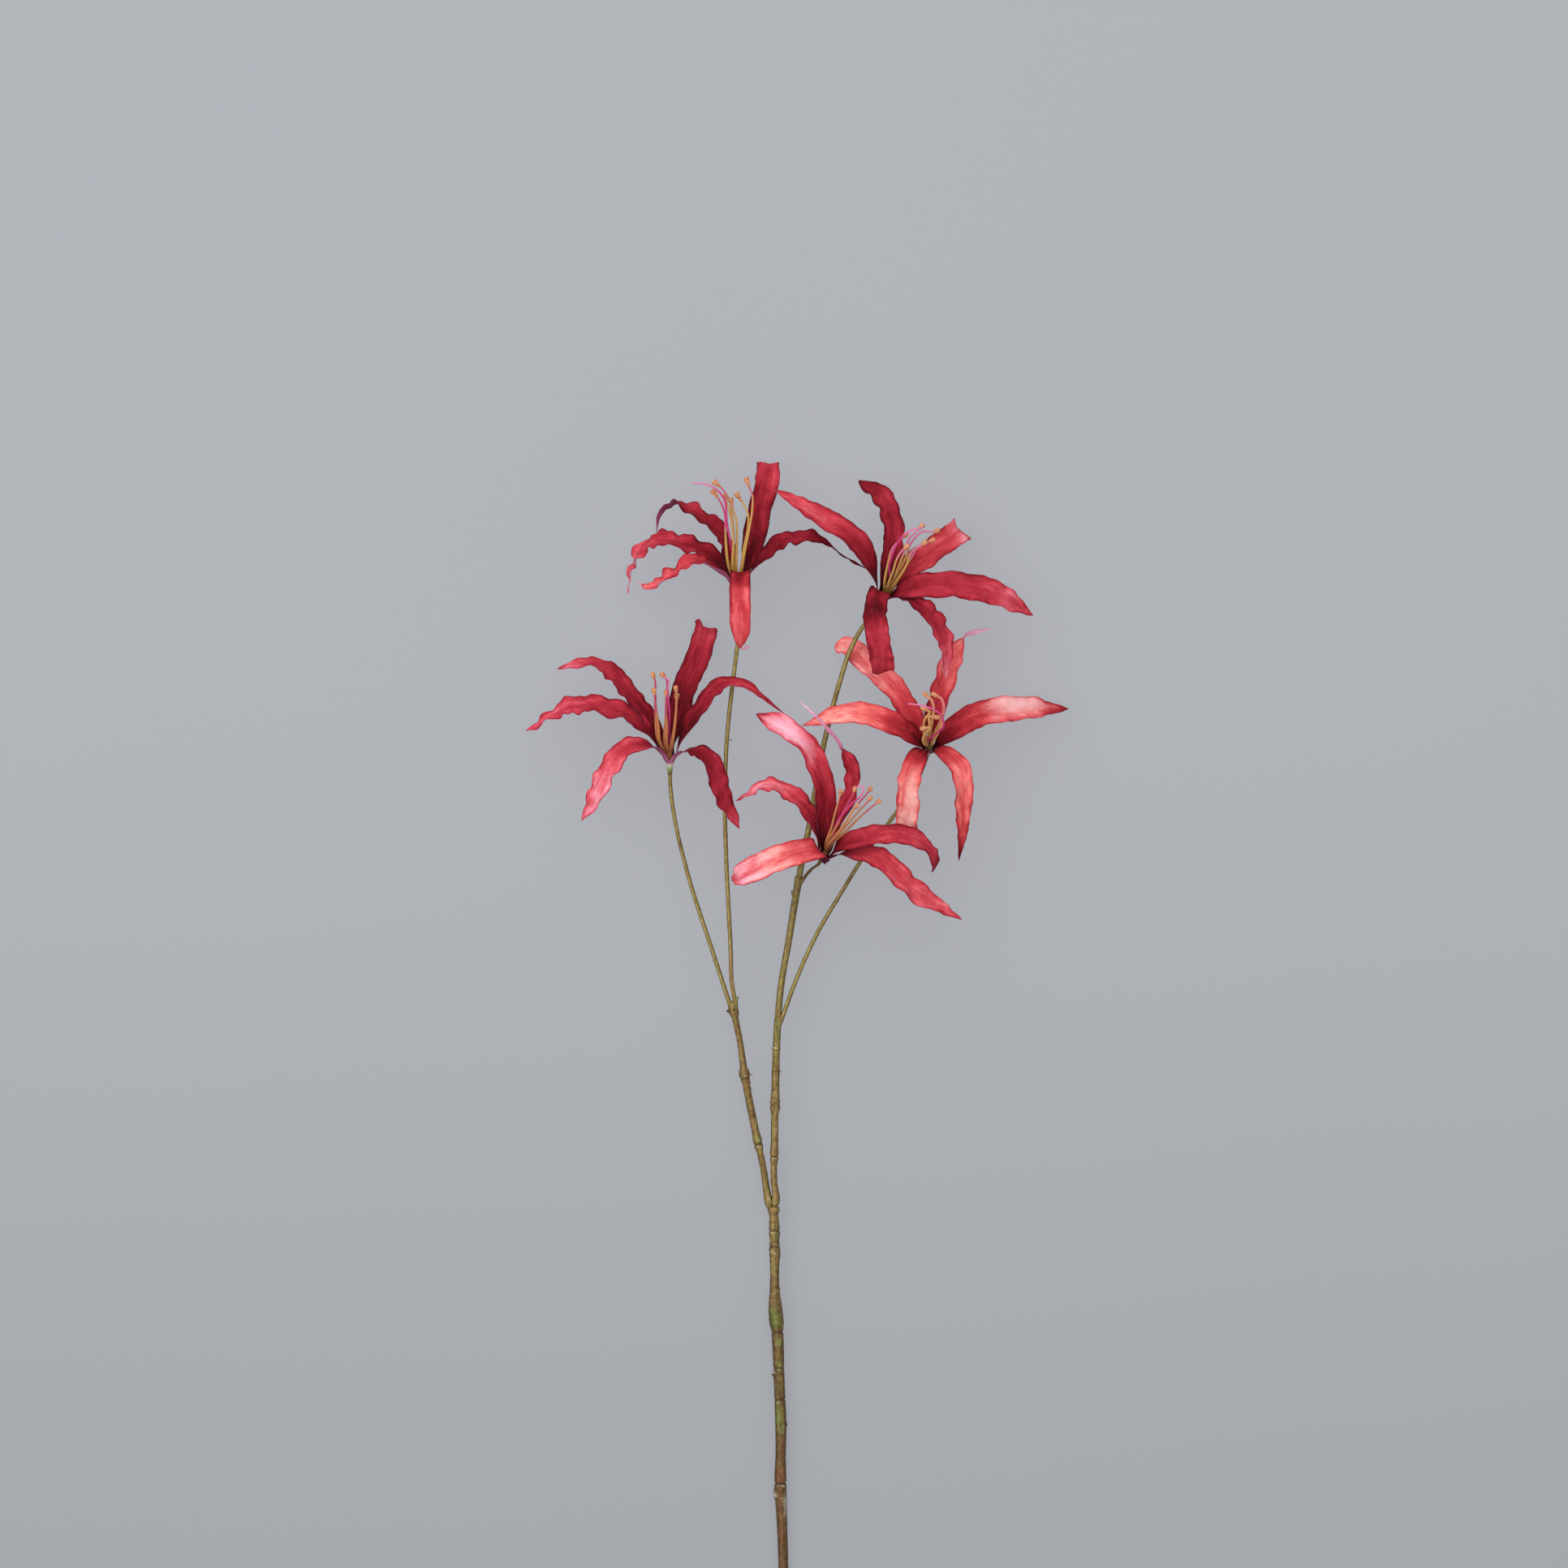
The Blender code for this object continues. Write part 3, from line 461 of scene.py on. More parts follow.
def tableSheet():
    # a matt acrylic sheet with a painted glow of its own, though it is no lamp, a little stronger at the
    # far side, which keeps the shadows pale
    material, make = newMaterial("table sheet")
    spot = make.node("TexCoord", {}, {}, 3)
    tint = np.array(colour(*stage["table"]))
    shades = [(0.3, tuple(tint * 0.985)), (0.7, tuple(tint * 1.015))]
    soft = grain(spot, (1.6, 1.6, 1.6))
    far = between(make.node("SeparateXYZ", {}, {0: spot}, 1), *stage["paintedGlowFrom"])
    values = {
        "Base Color": make.node("ValToRGB", {"stops": shades}, {0: soft}),
        "Roughness": 0.9,
        "Specular IOR Level": 0.0,
        "Emission Color": blend(make, stage["paintedGlowNear"], stage["paintedGlowFar"], far),
        "Emission Strength": stage["paintedGlow"],
    }
    shader = make.node("BsdfPrincipled", {}, values)
    make.node("OutputMaterial", {}, {"Surface": shader})
    return material


# Stage: camera, lights and table

stage = dict(
    centre=(-8.5, 151.0),  # what the middle of the photograph looks at
    focus=40.0,  # height at which the photograph's scale holds
    distance=5000.0,
    span=966.0,  # width of the picture at that height
    sensor=36.0,
    tableSize=9.0,  # metres, as the key's sizes are
    table=(93, 95, 99),
    # the table's painted glow, though it is no lamp: its strength, its near and far tints and where it
    # changes
    paintedGlow=0.32,
    paintedGlowNear=(0.8, 0.82, 0.875),
    paintedGlowFar=(0.98, 1.0, 1.065),
    paintedGlowFrom=(-0.45, 0.25),  # metres along the table between the near glow and the far one
    sky=0.62,
    skyTint=(0.98, 0.99, 1.0, 1.0),
    keySize=3.2,
    keyHeight=2.4,
    keyOffset=(-0.7, 0.9),
    keyPower=66.0,
)


def setStage():
    scene = bpy.context.scene
    scene.view_settings.view_transform = "Standard"
    scene.view_settings.look = "None"
    camera = bpy.data.cameras.new("camera")
    camera.sensor_width = stage["sensor"]
    camera.lens = stage["sensor"] * stage["distance"] / stage["span"]
    camera.clip_end = 100.0
    eye = bpy.data.objects.new("camera", camera)
    centre = (np.array(stage["centre"]) + place[:2]) * mm
    eye.location = (*centre, (stage["focus"] + stage["distance"]) * mm)
    scene.collection.objects.link(eye)
    scene.camera = eye

    world = bpy.data.worlds.new("studio")
    world.use_nodes = True
    sky = world.node_tree.nodes["Background"]
    sky.inputs["Color"].default_value = stage["skyTint"]
    sky.inputs["Strength"].default_value = stage["sky"]
    scene.world = world

    key = bpy.data.lights.new("key", "AREA")
    key.size = stage["keySize"]
    key.energy = stage["keyPower"]
    lamp = bpy.data.objects.new("key", key)
    offset = np.array(stage["keyOffset"])
    height = stage["keyHeight"]
    lamp.location = (*(centre + offset), height)
    lamp.rotation_euler = (-math.atan2(offset[1], height), math.atan2(offset[0], height), 0.0)
    lamp.visible_camera = False
    scene.collection.objects.link(lamp)

    half = stage["tableSize"] / 2
    mesh = bpy.data.meshes.new("table")
    corners = [(-half, -half, 0.0), (half, -half, 0.0), (half, half, 0.0), (-half, half, 0.0)]
    mesh.from_pydata(corners, [], [(0, 1, 2, 3)])
    mesh.materials.append(tableSheet())
    table = bpy.data.objects.new("table", mesh)
    scene.collection.objects.link(table)
    print("stage set")


# Stems. radii are (distance from the foot, radius) and grooves (distance, depth) of the ring marks.
# nicks, bumps, moss, rust and chalk are patches: (distance, length, turn, spread,
# strength); the last are pale chalky spots, and painted highlights on groove lips and bumps. A turn is
# in degrees, with 0 towards the viewer and 90 to the right of one who looks up the stem. olive and
# umber are pairs of (part of the length, strength), and a nub is (root, tip, radius).

stemShape = dict(
    sides=28,
    step=0.6,  # millimetres between rings
    lumps=0.05,
    flutes=0.035,
    stout=3.5,  # the radius at which lumps and flutes have those heights
    grooveLength=0.55,
    lip=(0.35, 1.5, 0.7),  # share of a groove's depth, distance from it and length
    flank=42.0,  # degrees of the spread of the painted shade down each flank
    ridge=0.6,
)

mainStem = dict(
    points=((-8.5, -350.0, 3.2), (-9.5, -314.0, 4.0), (-10.7, -285.0, 5.1), (-10.5, -247.0, 6.6),
            (-11.5, -218.5, 7.8), (-12.5, -190.0, 9.0), (-14.0, -170.5, 9.8), (-14.3, -138.5, 11.1),
            (-14.8, -115.0, 12.0), (-15.0, -111.0, 12.2)),
    radii=((0.0, 3.02), (19.5, 3.1), (36.0, 3.15), (53.0, 3.5), (65.0, 3.75), (67.3, 3.5), (71.0, 3.75),
           (84.0, 3.2), (92.5, 3.3), (103.0, 3.5), (113.0, 3.5), (119.5, 3.3), (131.5, 3.45), (139.3, 3.3),
           (148.5, 3.6), (159.5, 3.65), (161.3, 3.5), (167.0, 4.5), (173.5, 4.4), (179.5, 4.0),
           (186.5, 3.1), (194.5, 2.75), (203.5, 2.9), (211.5, 3.5), (214.8, 3.2), (218.5, 2.9),
           (223.0, 3.5), (224.7, 3.3), (226.5, 3.3), (234.4, 2.75), (236.2, 3.6), (238.0, 3.7),
           (239.0, 3.4)),
    grooves=((67.3, 0.45), (119.5, 0.35), (139.3, 0.35), (161.3, 0.4), (214.8, 0.35), (217.6, 0.2),
             (224.7, 0.35), (235.4, 0.15)),
    nicks=((137.3, 0.5, 300.0, 40.0, 0.3), (189.6, 0.5, 60.0, 40.0, 0.25), (230.0, 0.5, 330.0, 30.0, 0.2),
           (152.0, 0.5, 20.0, 25.0, 0.2)),
    bumps=((184.4, 0.7, 340.0, 16.0, 0.35), (185.6, 0.7, 5.0, 16.0, 0.4), (187.0, 0.8, 35.0, 18.0, 0.6),
           (188.2, 1.0, 68.0, 24.0, 0.9), (135.2, 1.0, 285.0, 26.0, 1.4), (104.0, 1.2, 92.0, 25.0, 0.7),
           (60.5, 2.4, 272.0, 32.0, 0.9), (63.0, 1.5, 300.0, 30.0, 0.5), (209.0, 1.2, 90.0, 25.0, 0.4)),
    moss=((172.5, 5.5, 330.0, 70.0, 1.2), (165.5, 5.0, 350.0, 90.0, 0.6), (221.5, 3.0, 30.0, 35.0, 0.9),
          (109.0, 4.5, 330.0, 45.0, 1.1), (155.0, 4.0, 10.0, 30.0, 0.7), (141.5, 5.0, 10.0, 90.0, 0.55),
          (117.0, 4.0, 340.0, 50.0, 0.5), (128.0, 7.0, 350.0, 60.0, 0.5), (100.0, 6.0, 20.0, 60.0, 0.5),
          (25.0, 40.0, 90.0, 22.0, 0.7), (40.0, 40.0, 275.0, 18.0, 0.6), (205.0, 8.0, 350.0, 30.0, 0.4)),
    rust=((90.0, 5.0, 20.0, 50.0, 0.9), (73.0, 8.0, 10.0, 80.0, 0.7), (40.0, 26.0, 350.0, 70.0, 0.6),
          (200.0, 14.0, 60.0, 30.0, 0.6), (150.0, 12.0, 70.0, 25.0, 0.6)),
    chalk=((56.0, 10.0, 20.0, 130.0, 0.45), (60.5, 2.5, 285.0, 40.0, 0.8), (3.0, 5.0, 0.0, 170.0, 0.45),
           (52.0, 14.0, 45.0, 25.0, 0.45), (32.0, 14.0, 60.0, 20.0, 0.35), (212.2, 1.6, 340.0, 60.0, 0.5),
           (184.4, 0.7, 340.0, 14.0, 0.8), (185.6, 0.7, 5.0, 14.0, 0.8), (187.0, 0.8, 35.0, 16.0, 0.9),
           (188.2, 1.0, 62.0, 18.0, 0.8), (230.2, 0.8, 0.0, 60.0, 0.4), (223.6, 1.0, 0.0, 80.0, 0.6),
           (210.0, 1.6, 0.0, 60.0, 0.55), (160.2, 0.9, 20.0, 60.0, 0.6), (118.2, 1.0, 340.0, 40.0, 0.7),
           (138.0, 1.0, 0.0, 70.0, 0.5), (136.5, 1.3, 300.0, 30.0, 0.8), (66.0, 0.9, 0.0, 80.0, 0.5)),
    olive=0.4,
    umber=((0.0, 1.0), (0.25, 1.0), (0.4, 0.85), (0.6, 0.8), (0.8, 0.5), (0.9, 0.15), (1.0, 0.0)),
)
leftSocket = ((-15.6, -115.8, 11.4), (-17.6, -110.0, 11.4), 1.9)
rightSocket = ((-15.0, -115.5, 12.2), (-14.2, -110.2, 13.2), 2.6)
pedicelSockets = (
    ((-38.9, 11.0, 22.2), (-38.3, 17.0, 23.0), 1.7),
    None,
    ((-40.3, 11.0, 21.8), (-42.6, 15.8, 22.0), 1.7),
    ((-12.4, 1.0, 18.6), (-8.6, 8.5, 19.4), 1.7),
    ((0.2, 88.0, 23.6), (4.4, 93.6, 27.0), 1.35),
)
gap = 0.3  # two pieces that meet face to face lie this far apart
lead = 4.0  # a stem leaves the piece that carries it straight for this far

leftBranch = dict(
    points=((-16.6, -114.5, 11.0), (-17.9, -108.5, 11.6), (-19.2, -101.0, 12.2), (-21.5, -86.0, 13.2),
            (-23.6, -76.0, 14.2), (-28.3, -53.5, 16.2), (-32.5, -31.5, 18.2), (-36.0, -7.0, 20.2),
            (-38.0, 3.0, 21.2), (-39.8, 12.5, 22.0), (-40.4, 17.0, 22.2)),
    radii=((0.0, 0.9), (2.2, 1.1), (3.4, 2.1), (6.0, 2.5), (9.0, 2.5), (17.0, 2.15), (28.0, 2.0),
           (38.0, 2.0), (41.5, 2.75), (43.5, 2.6), (45.5, 2.85), (51.0, 2.3), (68.0, 2.35), (76.0, 2.3),
           (82.3, 2.4), (83.3, 3.0), (84.8, 3.05), (86.2, 3.45), (87.6, 3.4), (89.0, 2.9), (90.5, 2.2),
           (93.0, 2.1), (107.0, 1.85), (118.0, 1.95), (122.0, 2.1), (123.6, 2.9), (127.8, 3.0),
           (129.4, 2.5), (130.6, 2.0), (132.2, 0.6)),
    grooves=((43.5, 0.4), (85.4, 0.35), (87.6, 0.1), (122.6, 0.15)),
    nicks=((61.5, 0.5, 40.0, 45.0, 0.3), (61.5, 0.5, 340.0, 20.0, 0.15), (71.5, 0.5, 335.0, 12.0, 0.15),
           (128.6, 0.5, 0.0, 30.0, 0.3)),
    bumps=((128.2, 0.9, 275.0, 24.0, 2.0), (82.0, 0.9, 90.0, 25.0, 0.5), (70.5, 0.7, 340.0, 18.0, 0.4),
           (111.0, 0.7, 330.0, 20.0, 0.3), (78.5, 0.8, 92.0, 20.0, 0.4), (113.0, 3.0, 60.0, 30.0, 0.2)),
    moss=((47.0, 4.5, 20.0, 90.0, 0.5), (19.0, 9.0, 30.0, 60.0, 0.5), (28.0, 6.0, 320.0, 40.0, 0.4),
          (124.0, 4.0, 40.0, 60.0, 0.4)),
    rust=((66.0, 14.0, 0.0, 90.0, 0.4), (31.0, 8.0, 0.0, 50.0, 0.6), (55.0, 3.0, 0.0, 60.0, 0.5)),
    chalk=((45.6, 0.7, 0.0, 90.0, 0.5), (42.0, 0.7, 0.0, 90.0, 0.75), (87.0, 0.6, 0.0, 80.0, 0.6),
           (84.2, 0.6, 0.0, 90.0, 0.6), (11.0, 5.0, 0.0, 30.0, 0.55), (8.0, 3.0, 20.0, 30.0, 0.5),
           (126.0, 1.2, 300.0, 60.0, 0.5), (111.0, 0.8, 330.0, 20.0, 0.8), (48.0, 3.0, 20.0, 50.0, 0.4),
           (70.5, 0.7, 340.0, 16.0, 0.7), (89.0, 1.8, 0.0, 60.0, 0.45)),
    olive=((0.0, 0.5), (0.3, 0.35), (0.6, 0.2), (0.8, 0.3), (1.0, 0.6)),
    umber=((0.0, 0.15), (0.4, 0.1), (0.6, 0.25), (0.75, 0.35), (0.9, 0.35), (1.0, 0.1)),
    nubs=(((-38.6, 15.6, 23.0), (-36.9, 19.4, 23.6), 1.0),),
)
rightBranch = dict(
    points=((-14.7, -95.0, 14.4), (-14.5, -77.5, 15.2), (-14.0, -45.5, 17.0), (-13.2, -12.5, 18.2),
            (-12.5, 3.0, 18.8), (-10.0, 28.5, 20.2), (-5.5, 54.5, 21.8), (-2.0, 76.5, 23.2),
            (1.0, 94.5, 24.6)),
    radii=((0.0, 2.1), (1.5, 2.55), (4.0, 2.6), (9.0, 2.1), (26.0, 2.0), (29.0, 2.6), (30.5, 2.45),
           (33.0, 2.7), (40.0, 2.3), (57.0, 2.3), (59.5, 2.9), (62.0, 2.9), (63.0, 3.0), (66.0, 3.0),
           (67.0, 2.75), (69.5, 2.75), (71.0, 2.5), (80.0, 2.45), (83.0, 2.6), (85.5, 2.4), (96.0, 2.3),
           (97.5, 2.6), (99.5, 2.3), (109.0, 2.3), (117.0, 2.1), (150.0, 2.0), (187.0, 2.2), (197.0, 2.3),
           (204.5, 2.5), (206.5, 1.9)),
    grooves=((30.5, 0.35), (62.5, 0.18), (66.5, 0.18), (83.4, 0.2), (76.0, 0.12), (98.6, 0.18),
             (96.6, 0.12)),
    nicks=((64.5, 0.5, 20.0, 14.0, 0.3), (61.0, 0.5, 5.0, 16.0, 0.3), (40.5, 0.5, 45.0, 45.0, 0.15),
           (75.0, 0.5, 30.0, 40.0, 0.2), (72.0, 0.5, 340.0, 40.0, 0.15)),
    bumps=((193.5, 1.0, 272.0, 30.0, 0.6), (204.0, 1.2, 300.0, 40.0, 0.5), (61.0, 1.2, 90.0, 30.0, 0.3),
           (61.0, 1.2, 270.0, 30.0, 0.25), (55.9, 0.7, 30.0, 17.0, 0.35), (52.4, 0.7, 28.0, 17.0, 0.35),
           (47.5, 0.7, 32.0, 17.0, 0.35), (40.5, 0.8, 90.0, 22.0, 0.3)),
    moss=((120.0, 16.0, 330.0, 50.0, 0.55), (92.0, 5.0, 20.0, 60.0, 0.4), (108.0, 5.0, 30.0, 60.0, 0.6),
          (44.0, 4.0, 320.0, 25.0, 0.7), (75.0, 4.0, 20.0, 60.0, 0.4)),
    rust=((8.0, 5.0, 50.0, 45.0, 0.9), (85.5, 3.5, 300.0, 50.0, 0.8), (63.0, 4.0, 0.0, 120.0, 0.4),
          (33.5, 1.5, 30.0, 60.0, 0.7), (150.0, 18.0, 280.0, 22.0, 0.7)),
    chalk=((98.0, 0.9, 350.0, 70.0, 0.95), (29.6, 0.5, 0.0, 100.0, 0.85), (68.8, 0.8, 0.0, 90.0, 0.6),
           (36.0, 5.0, 345.0, 30.0, 0.5), (80.0, 1.5, 340.0, 40.0, 0.5), (74.0, 4.0, 0.0, 50.0, 0.45),
           (107.0, 2.0, 60.0, 30.0, 0.7), (203.5, 1.2, 330.0, 25.0, 0.8), (8.0, 5.0, 330.0, 40.0, 0.45),
           (55.9, 0.6, 30.0, 14.0, 0.7), (52.4, 0.6, 28.0, 14.0, 0.6), (47.5, 0.6, 32.0, 14.0, 0.7),
           (50.0, 7.0, 10.0, 30.0, 0.35)),
    olive=((0.0, 0.2), (0.15, 0.3), (0.4, 0.4), (0.5, 0.7), (1.0, 0.75)),
    umber=((0.0, 0.05), (0.5, 0.0), (0.7, 0.05), (0.85, 0.2), (1.0, 0.3)),
    nubs=(((-1.4, 82.0, 23.6), (-4.0, 84.8, 24.2), 1.15),),
)
# thin spurs of flash on each branch: distance, turn and length
spurs = dict(left=((86.8, 95.0, 3.0),), right=((83.4, 92.0, 1.5), (97.0, 275.0, 0.6)))

pedicels = (
    dict(points=((-40.6, 27.0, 24.2), (-41.5, 50.0, 26.0), (-44.0, 101.0, 29.0), (-45.0, 140.0, 31.5),
                 (-43.5, 181.5, 33.5), (-39.0, 222.5, 35.0), (-36.3, 244.0, 35.3)),
         radii=(1.35, 1.3), olive=((0.0, 0.45), (0.5, 0.5), (1.0, 1.0)), spur=((164.0, 90.0, 1.0),)),
    dict(points=((6.5, 122.0, 27.0), (10.5, 144.5, 29.0), (17.0, 179.5, 32.0), (25.5, 212.5, 34.0),
                 (32.0, 232.5, 35.0), (39.5, 247.0, 36.2)),
         radii=(2.0, 1.3), olive=((0.0, 0.9), (1.0, 0.8)), spur=()),
    dict(points=((-51.5, 44.0, 24.0), (-67.5, 94.0, 28.0), (-74.5, 122.0, 30.5), (-78.0, 143.5, 33.0)),
         radii=(1.35, 1.2), olive=((0.0, 0.7), (1.0, 0.6)), spur=()),
    dict(points=((-2.5, 26.0, 19.8), (11.5, 57.5, 19.5), (29.5, 88.0, 18.5), (42.0, 108.0, 17.5),
                 (61.0, 133.5, 16.5), (75.0, 155.5, 19.0)),
         radii=(1.35, 1.15), olive=((0.0, 0.9), (1.0, 0.9)), spur=()),
    # pedicel 5 is umber nearly all over: painted shade, as it runs under bloom 5's front tepal
    dict(points=((8.2, 98.2, 31.0),), radii=(1.0, 0.8), olive=0.3, umber=0.9, spur=()),
)
stalkShape = dict(
    sides=20,
    intoSocket=2.0,
    intoCup=0.6,
    ridge=1.0,
    rust=((0.6, 25.0, 270.0, 60.0, 0.45), (0.2, 3.0, 0.0, 60.0, 0.6)),  # distances as parts of the length
    chalk=((0.75, 3.0, 0.0, 50.0, 0.4), (0.2, 1.2, 340.0, 40.0, 0.6)),
    bumps=((0.42, 0.8, 90.0, 30.0, 0.25), (0.2, 0.9, 280.0, 30.0, 0.25)),
)


def patches(spots, distance, angle):
    # the sum of bells over the stem's skin, at (distance, length, turn, spread, strength)
    total = np.zeros(np.broadcast(distance, angle).shape)
    for middle, length, turn, spread, strength in spots:
        apart = (np.degrees(angle) - turn + 180.0) % 360.0 - 180.0
        total += strength * bell(distance, middle, length) * bell(apart, 0.0, spread)
    return total


def stemFrame(points, step):
    # stations at even steps along the route, with two side vectors, the first towards the viewer
    curve, along = curveThrough(points)
    upright = abs(unit(curve[1] - curve[0])[2]) >= 0.9
    tangents, carried = carriedSides(curve, (1.0, 0.0, 0.0) if upright else (0.0, 0.0, 1.0))
    count = max(6, round(along[-1] / step))
    distance = np.linspace(0.0, along[-1], count + 1)
    centre = readAt(curve, along, distance)
    side = unit(readAt(carried, along, distance))
    other = np.cross(unit(readAt(tangents, along, distance)), side)
    return centre, side, other, distance


def stemTube(points, look, seed, sides=None, taper=(0.25, 0.25)):
    # radius = the profile smoothed over five rings, less its ring grooves and nicks, plus bumps, low
    # lumps and shallow lengthwise flutes
    shape = stemShape
    sides = sides or shape["sides"]
    centre, side, other, distance = stemFrame(points, shape["step"])
    at = distance / distance[-1]
    profile = np.array(look["radii"], float)
    marks = profile[:, 0] * distance[-1] / profile[-1, 0]
    window = np.hanning(5)
    rough = np.pad(np.interp(distance, marks, profile[:, 1]), 2, mode="edge")
    radius = np.convolve(rough, window / window.sum(), mode="valid")
    groove = np.zeros_like(distance)
    share, apart, spread = shape["lip"]
    for middle, depth in look.get("grooves", ()):
        groove += depth * bell(distance, middle, shape["grooveLength"])
        lips = bell(distance, middle - apart, spread) + bell(distance, middle + apart, spread)
        radius = radius + share * depth * lips
    radius = radius - groove
    radius[0] -= taper[0]
    radius[-1] -= taper[1]

    angle = np.arange(sides) * tau / sides
    far = distance[:, None]
    around = angle[None, :]
    twist = wobble(distance, 0.03, seed + 1)[:, None] * 2
    lumps = wobble(distance, 0.16, seed)[:, None] * np.sin(around * 2 + twist)
    lumps = lumps + wobble(distance, 0.35, seed + 2)[:, None] * np.cos(around * 3 + seed)
    flutes = np.cos(around * 7 + 0.03 * far) + 0.6 * np.cos(around * 11 - 0.05 * far + 1.0)
    relief = shape["lumps"] * lumps + shape["flutes"] * flutes
    sunk = patches(look.get("nicks", ()), far, around)
    raised = patches(look.get("bumps", ()), far, around)
    radii = radius[:, None] + relief * (radius[:, None] / shape["stout"]) ** 1.5 - sunk + raised

    everywhere = 1e6  # a length that makes a patch run the whole way
    # painted shade down both flanks
    flanks = [(0.0, everywhere, turn, shape["flank"], 1.0) for turn in (90.0, 270.0)]
    # a painted highlight down the crest, just left of the side towards the viewer
    crest = [(0.0, everywhere, 345.0, 35.0, look.get("ridge", shape["ridge"]))]
    endDark = bell(distance, 0.0, 0.3) + bell(distance, distance[-1], 0.3)
    values = dict(
        grain=roundSpots(angle, distance, 0.3, seed),
        seam=patches(flanks, far, around),
        ridge=patches(crest, far, around),
        umber=alongStops(look.get("umber", 0.0), at),
        olive=alongStops(look["olive"], at),
        moss=patches(look.get("moss", ()), far, around),
        rust=patches(look.get("rust", ()), far, around),
        chalk=patches(look.get("chalk", ()), far, around),
        # painted shade from the depth of the ring grooves and nicks, and darker at both ends
        groove=np.clip(groove[:, None] * 3.0 + sunk * 4.0, 0.0, 1.0) + 0.4 * endDark[:, None],
    )
    return closedTube(centre, side, other, radii, values)


def spurTube(points, distance, turn, length, seed):
    # a thin tapered hair that leans a little towards the bloom
    centre, side, other, along = stemFrame(points, stemShape["step"])
    station = int(np.argmin(abs(along - distance)))
    angle = math.radians(turn)
    outward = math.cos(angle) * side[station] + math.sin(angle) * other[station]
    forward = np.cross(side[station], other[station])
    root = centre[station] + outward * 1.4
    halfway = root + outward * (1.0 + length * 0.5)
    tip = root + outward * (1.0 + length) + forward * 0.15 * length
    radii = ((0.0, 0.38), (0.6, 0.26), (1.0, 0.12))
    look = dict(radii=radii, olive=0.1, rust=((1.0, 3.0, 0.0, 400.0, 0.8),))
    return stemTube((root, halfway, tip), look, seed, 10, (0.1, 0.05))


def stubTube(stub, shares, look, seed, sides):
    # a short straight piece from (root, tip, radius), with its radii as shares of that radius
    start, end, radius = stub
    look = dict(look, radii=[(at, share * radius) for at, share in shares])
    return stemTube((start, np.add(start, end) / 2, end), look, seed, sides)


def socketTube(socket, seed):
    # widest at its root and drawn in to the stalk that grows out of it
    look = dict(olive=0.5, umber=0.2)
    return stubTube(socket, ((0.0, 1.2), (0.4, 1.0), (1.0, 0.7)), look, seed, 20)


def nubTube(nub, seed):
    # the pale stump of a shoot that was cut off
    look = dict(olive=0.9, moss=((2.0, 3.0, 0.0, 400.0, 0.6),), chalk=((3.0, 1.0, 0.0, 400.0, 0.7),))
    return stubTube(nub, ((0.0, 1.2), (0.6, 0.8), (0.85, 0.85), (1.0, 0.6)), look, seed, 16)


def afterSocket(socket, *distances):
    # points straight on from a socket's end
    start, end, _ = socket
    direction = unit(np.subtract(end, start))
    return [np.add(end, direction * distance) for distance in distances]


def makeStems(skin):
    sockets = [socketTube(leftSocket, 12), socketTube(rightSocket, 13)]
    addPiece("stem_main", [stemTube(mainStem["points"], mainStem, 11), *sockets], skin, "main_stem")
    rightPoints = (*afterSocket(rightSocket, gap, lead), *rightBranch["points"])
    for name, branch, points, carried, seed in (
        ("left", leftBranch, leftBranch["points"], (0, 2), 21),
        ("right", rightBranch, rightPoints, (3, 4), 31),
    ):
        parts = [stemTube(points, branch, seed)]
        parts += [socketTube(pedicelSockets[index], seed + 3 + index) for index in carried]
        parts += [nubTube(nub, seed + 8) for nub in branch["nubs"]]
        parts += [spurTube(points, *spur, seed + 9) for spur in spurs[name]]
        addPiece("branch_" + name, parts, skin, name + "_branch")
    print("stems made")


def makePedicels(skin):
    # pedicel 2 has no socket: it goes straight on from the right branch's end
    rightEnd = np.asarray(rightBranch["points"][-1])
    rightWay = unit(rightEnd - np.asarray(rightBranch["points"][-2]))
    foot = bloomShape["hubHeight"] / 2 + gap + bloomShape["receptacleLength"] + gap
    for count, (look, socket, bloom) in enumerate(zip(pedicels, pedicelSockets, blooms), 1):
        if socket:
            start = afterSocket(socket, -stalkShape["intoSocket"])
        else:
            start = [rightEnd - rightWay, rightEnd + rightWay * lead / 2]
        heart = np.asarray(bloom["heart"])
        axis = unit(bloom["axis"])
        arrive = [heart - axis * (foot + lead)] if len(look["points"]) > 1 else []
        points = (*start, *look["points"], *arrive, heart - axis * (foot - stalkShape["intoCup"]))
        length = curveThrough(points)[1][-1]
        first, last = look["radii"]
        bark = dict(look, ridge=stalkShape["ridge"])
        bark["radii"] = [(at, first + (last - first) * at / length) for at in np.linspace(0.0, length, 12)]
        for kind in ("rust", "chalk", "bumps"):
            bark[kind] = [(length * part, *rest) for part, *rest in stalkShape[kind]]
        parts = [stemTube(points, bark, 40 + count, stalkShape["sides"])]
        parts += [spurTube(points, *spur, 60 + count) for spur in look["spur"]]
        addPiece(f"stalk_{count}", parts, skin, f"pedicel_{count}")
    print("pedicels made")


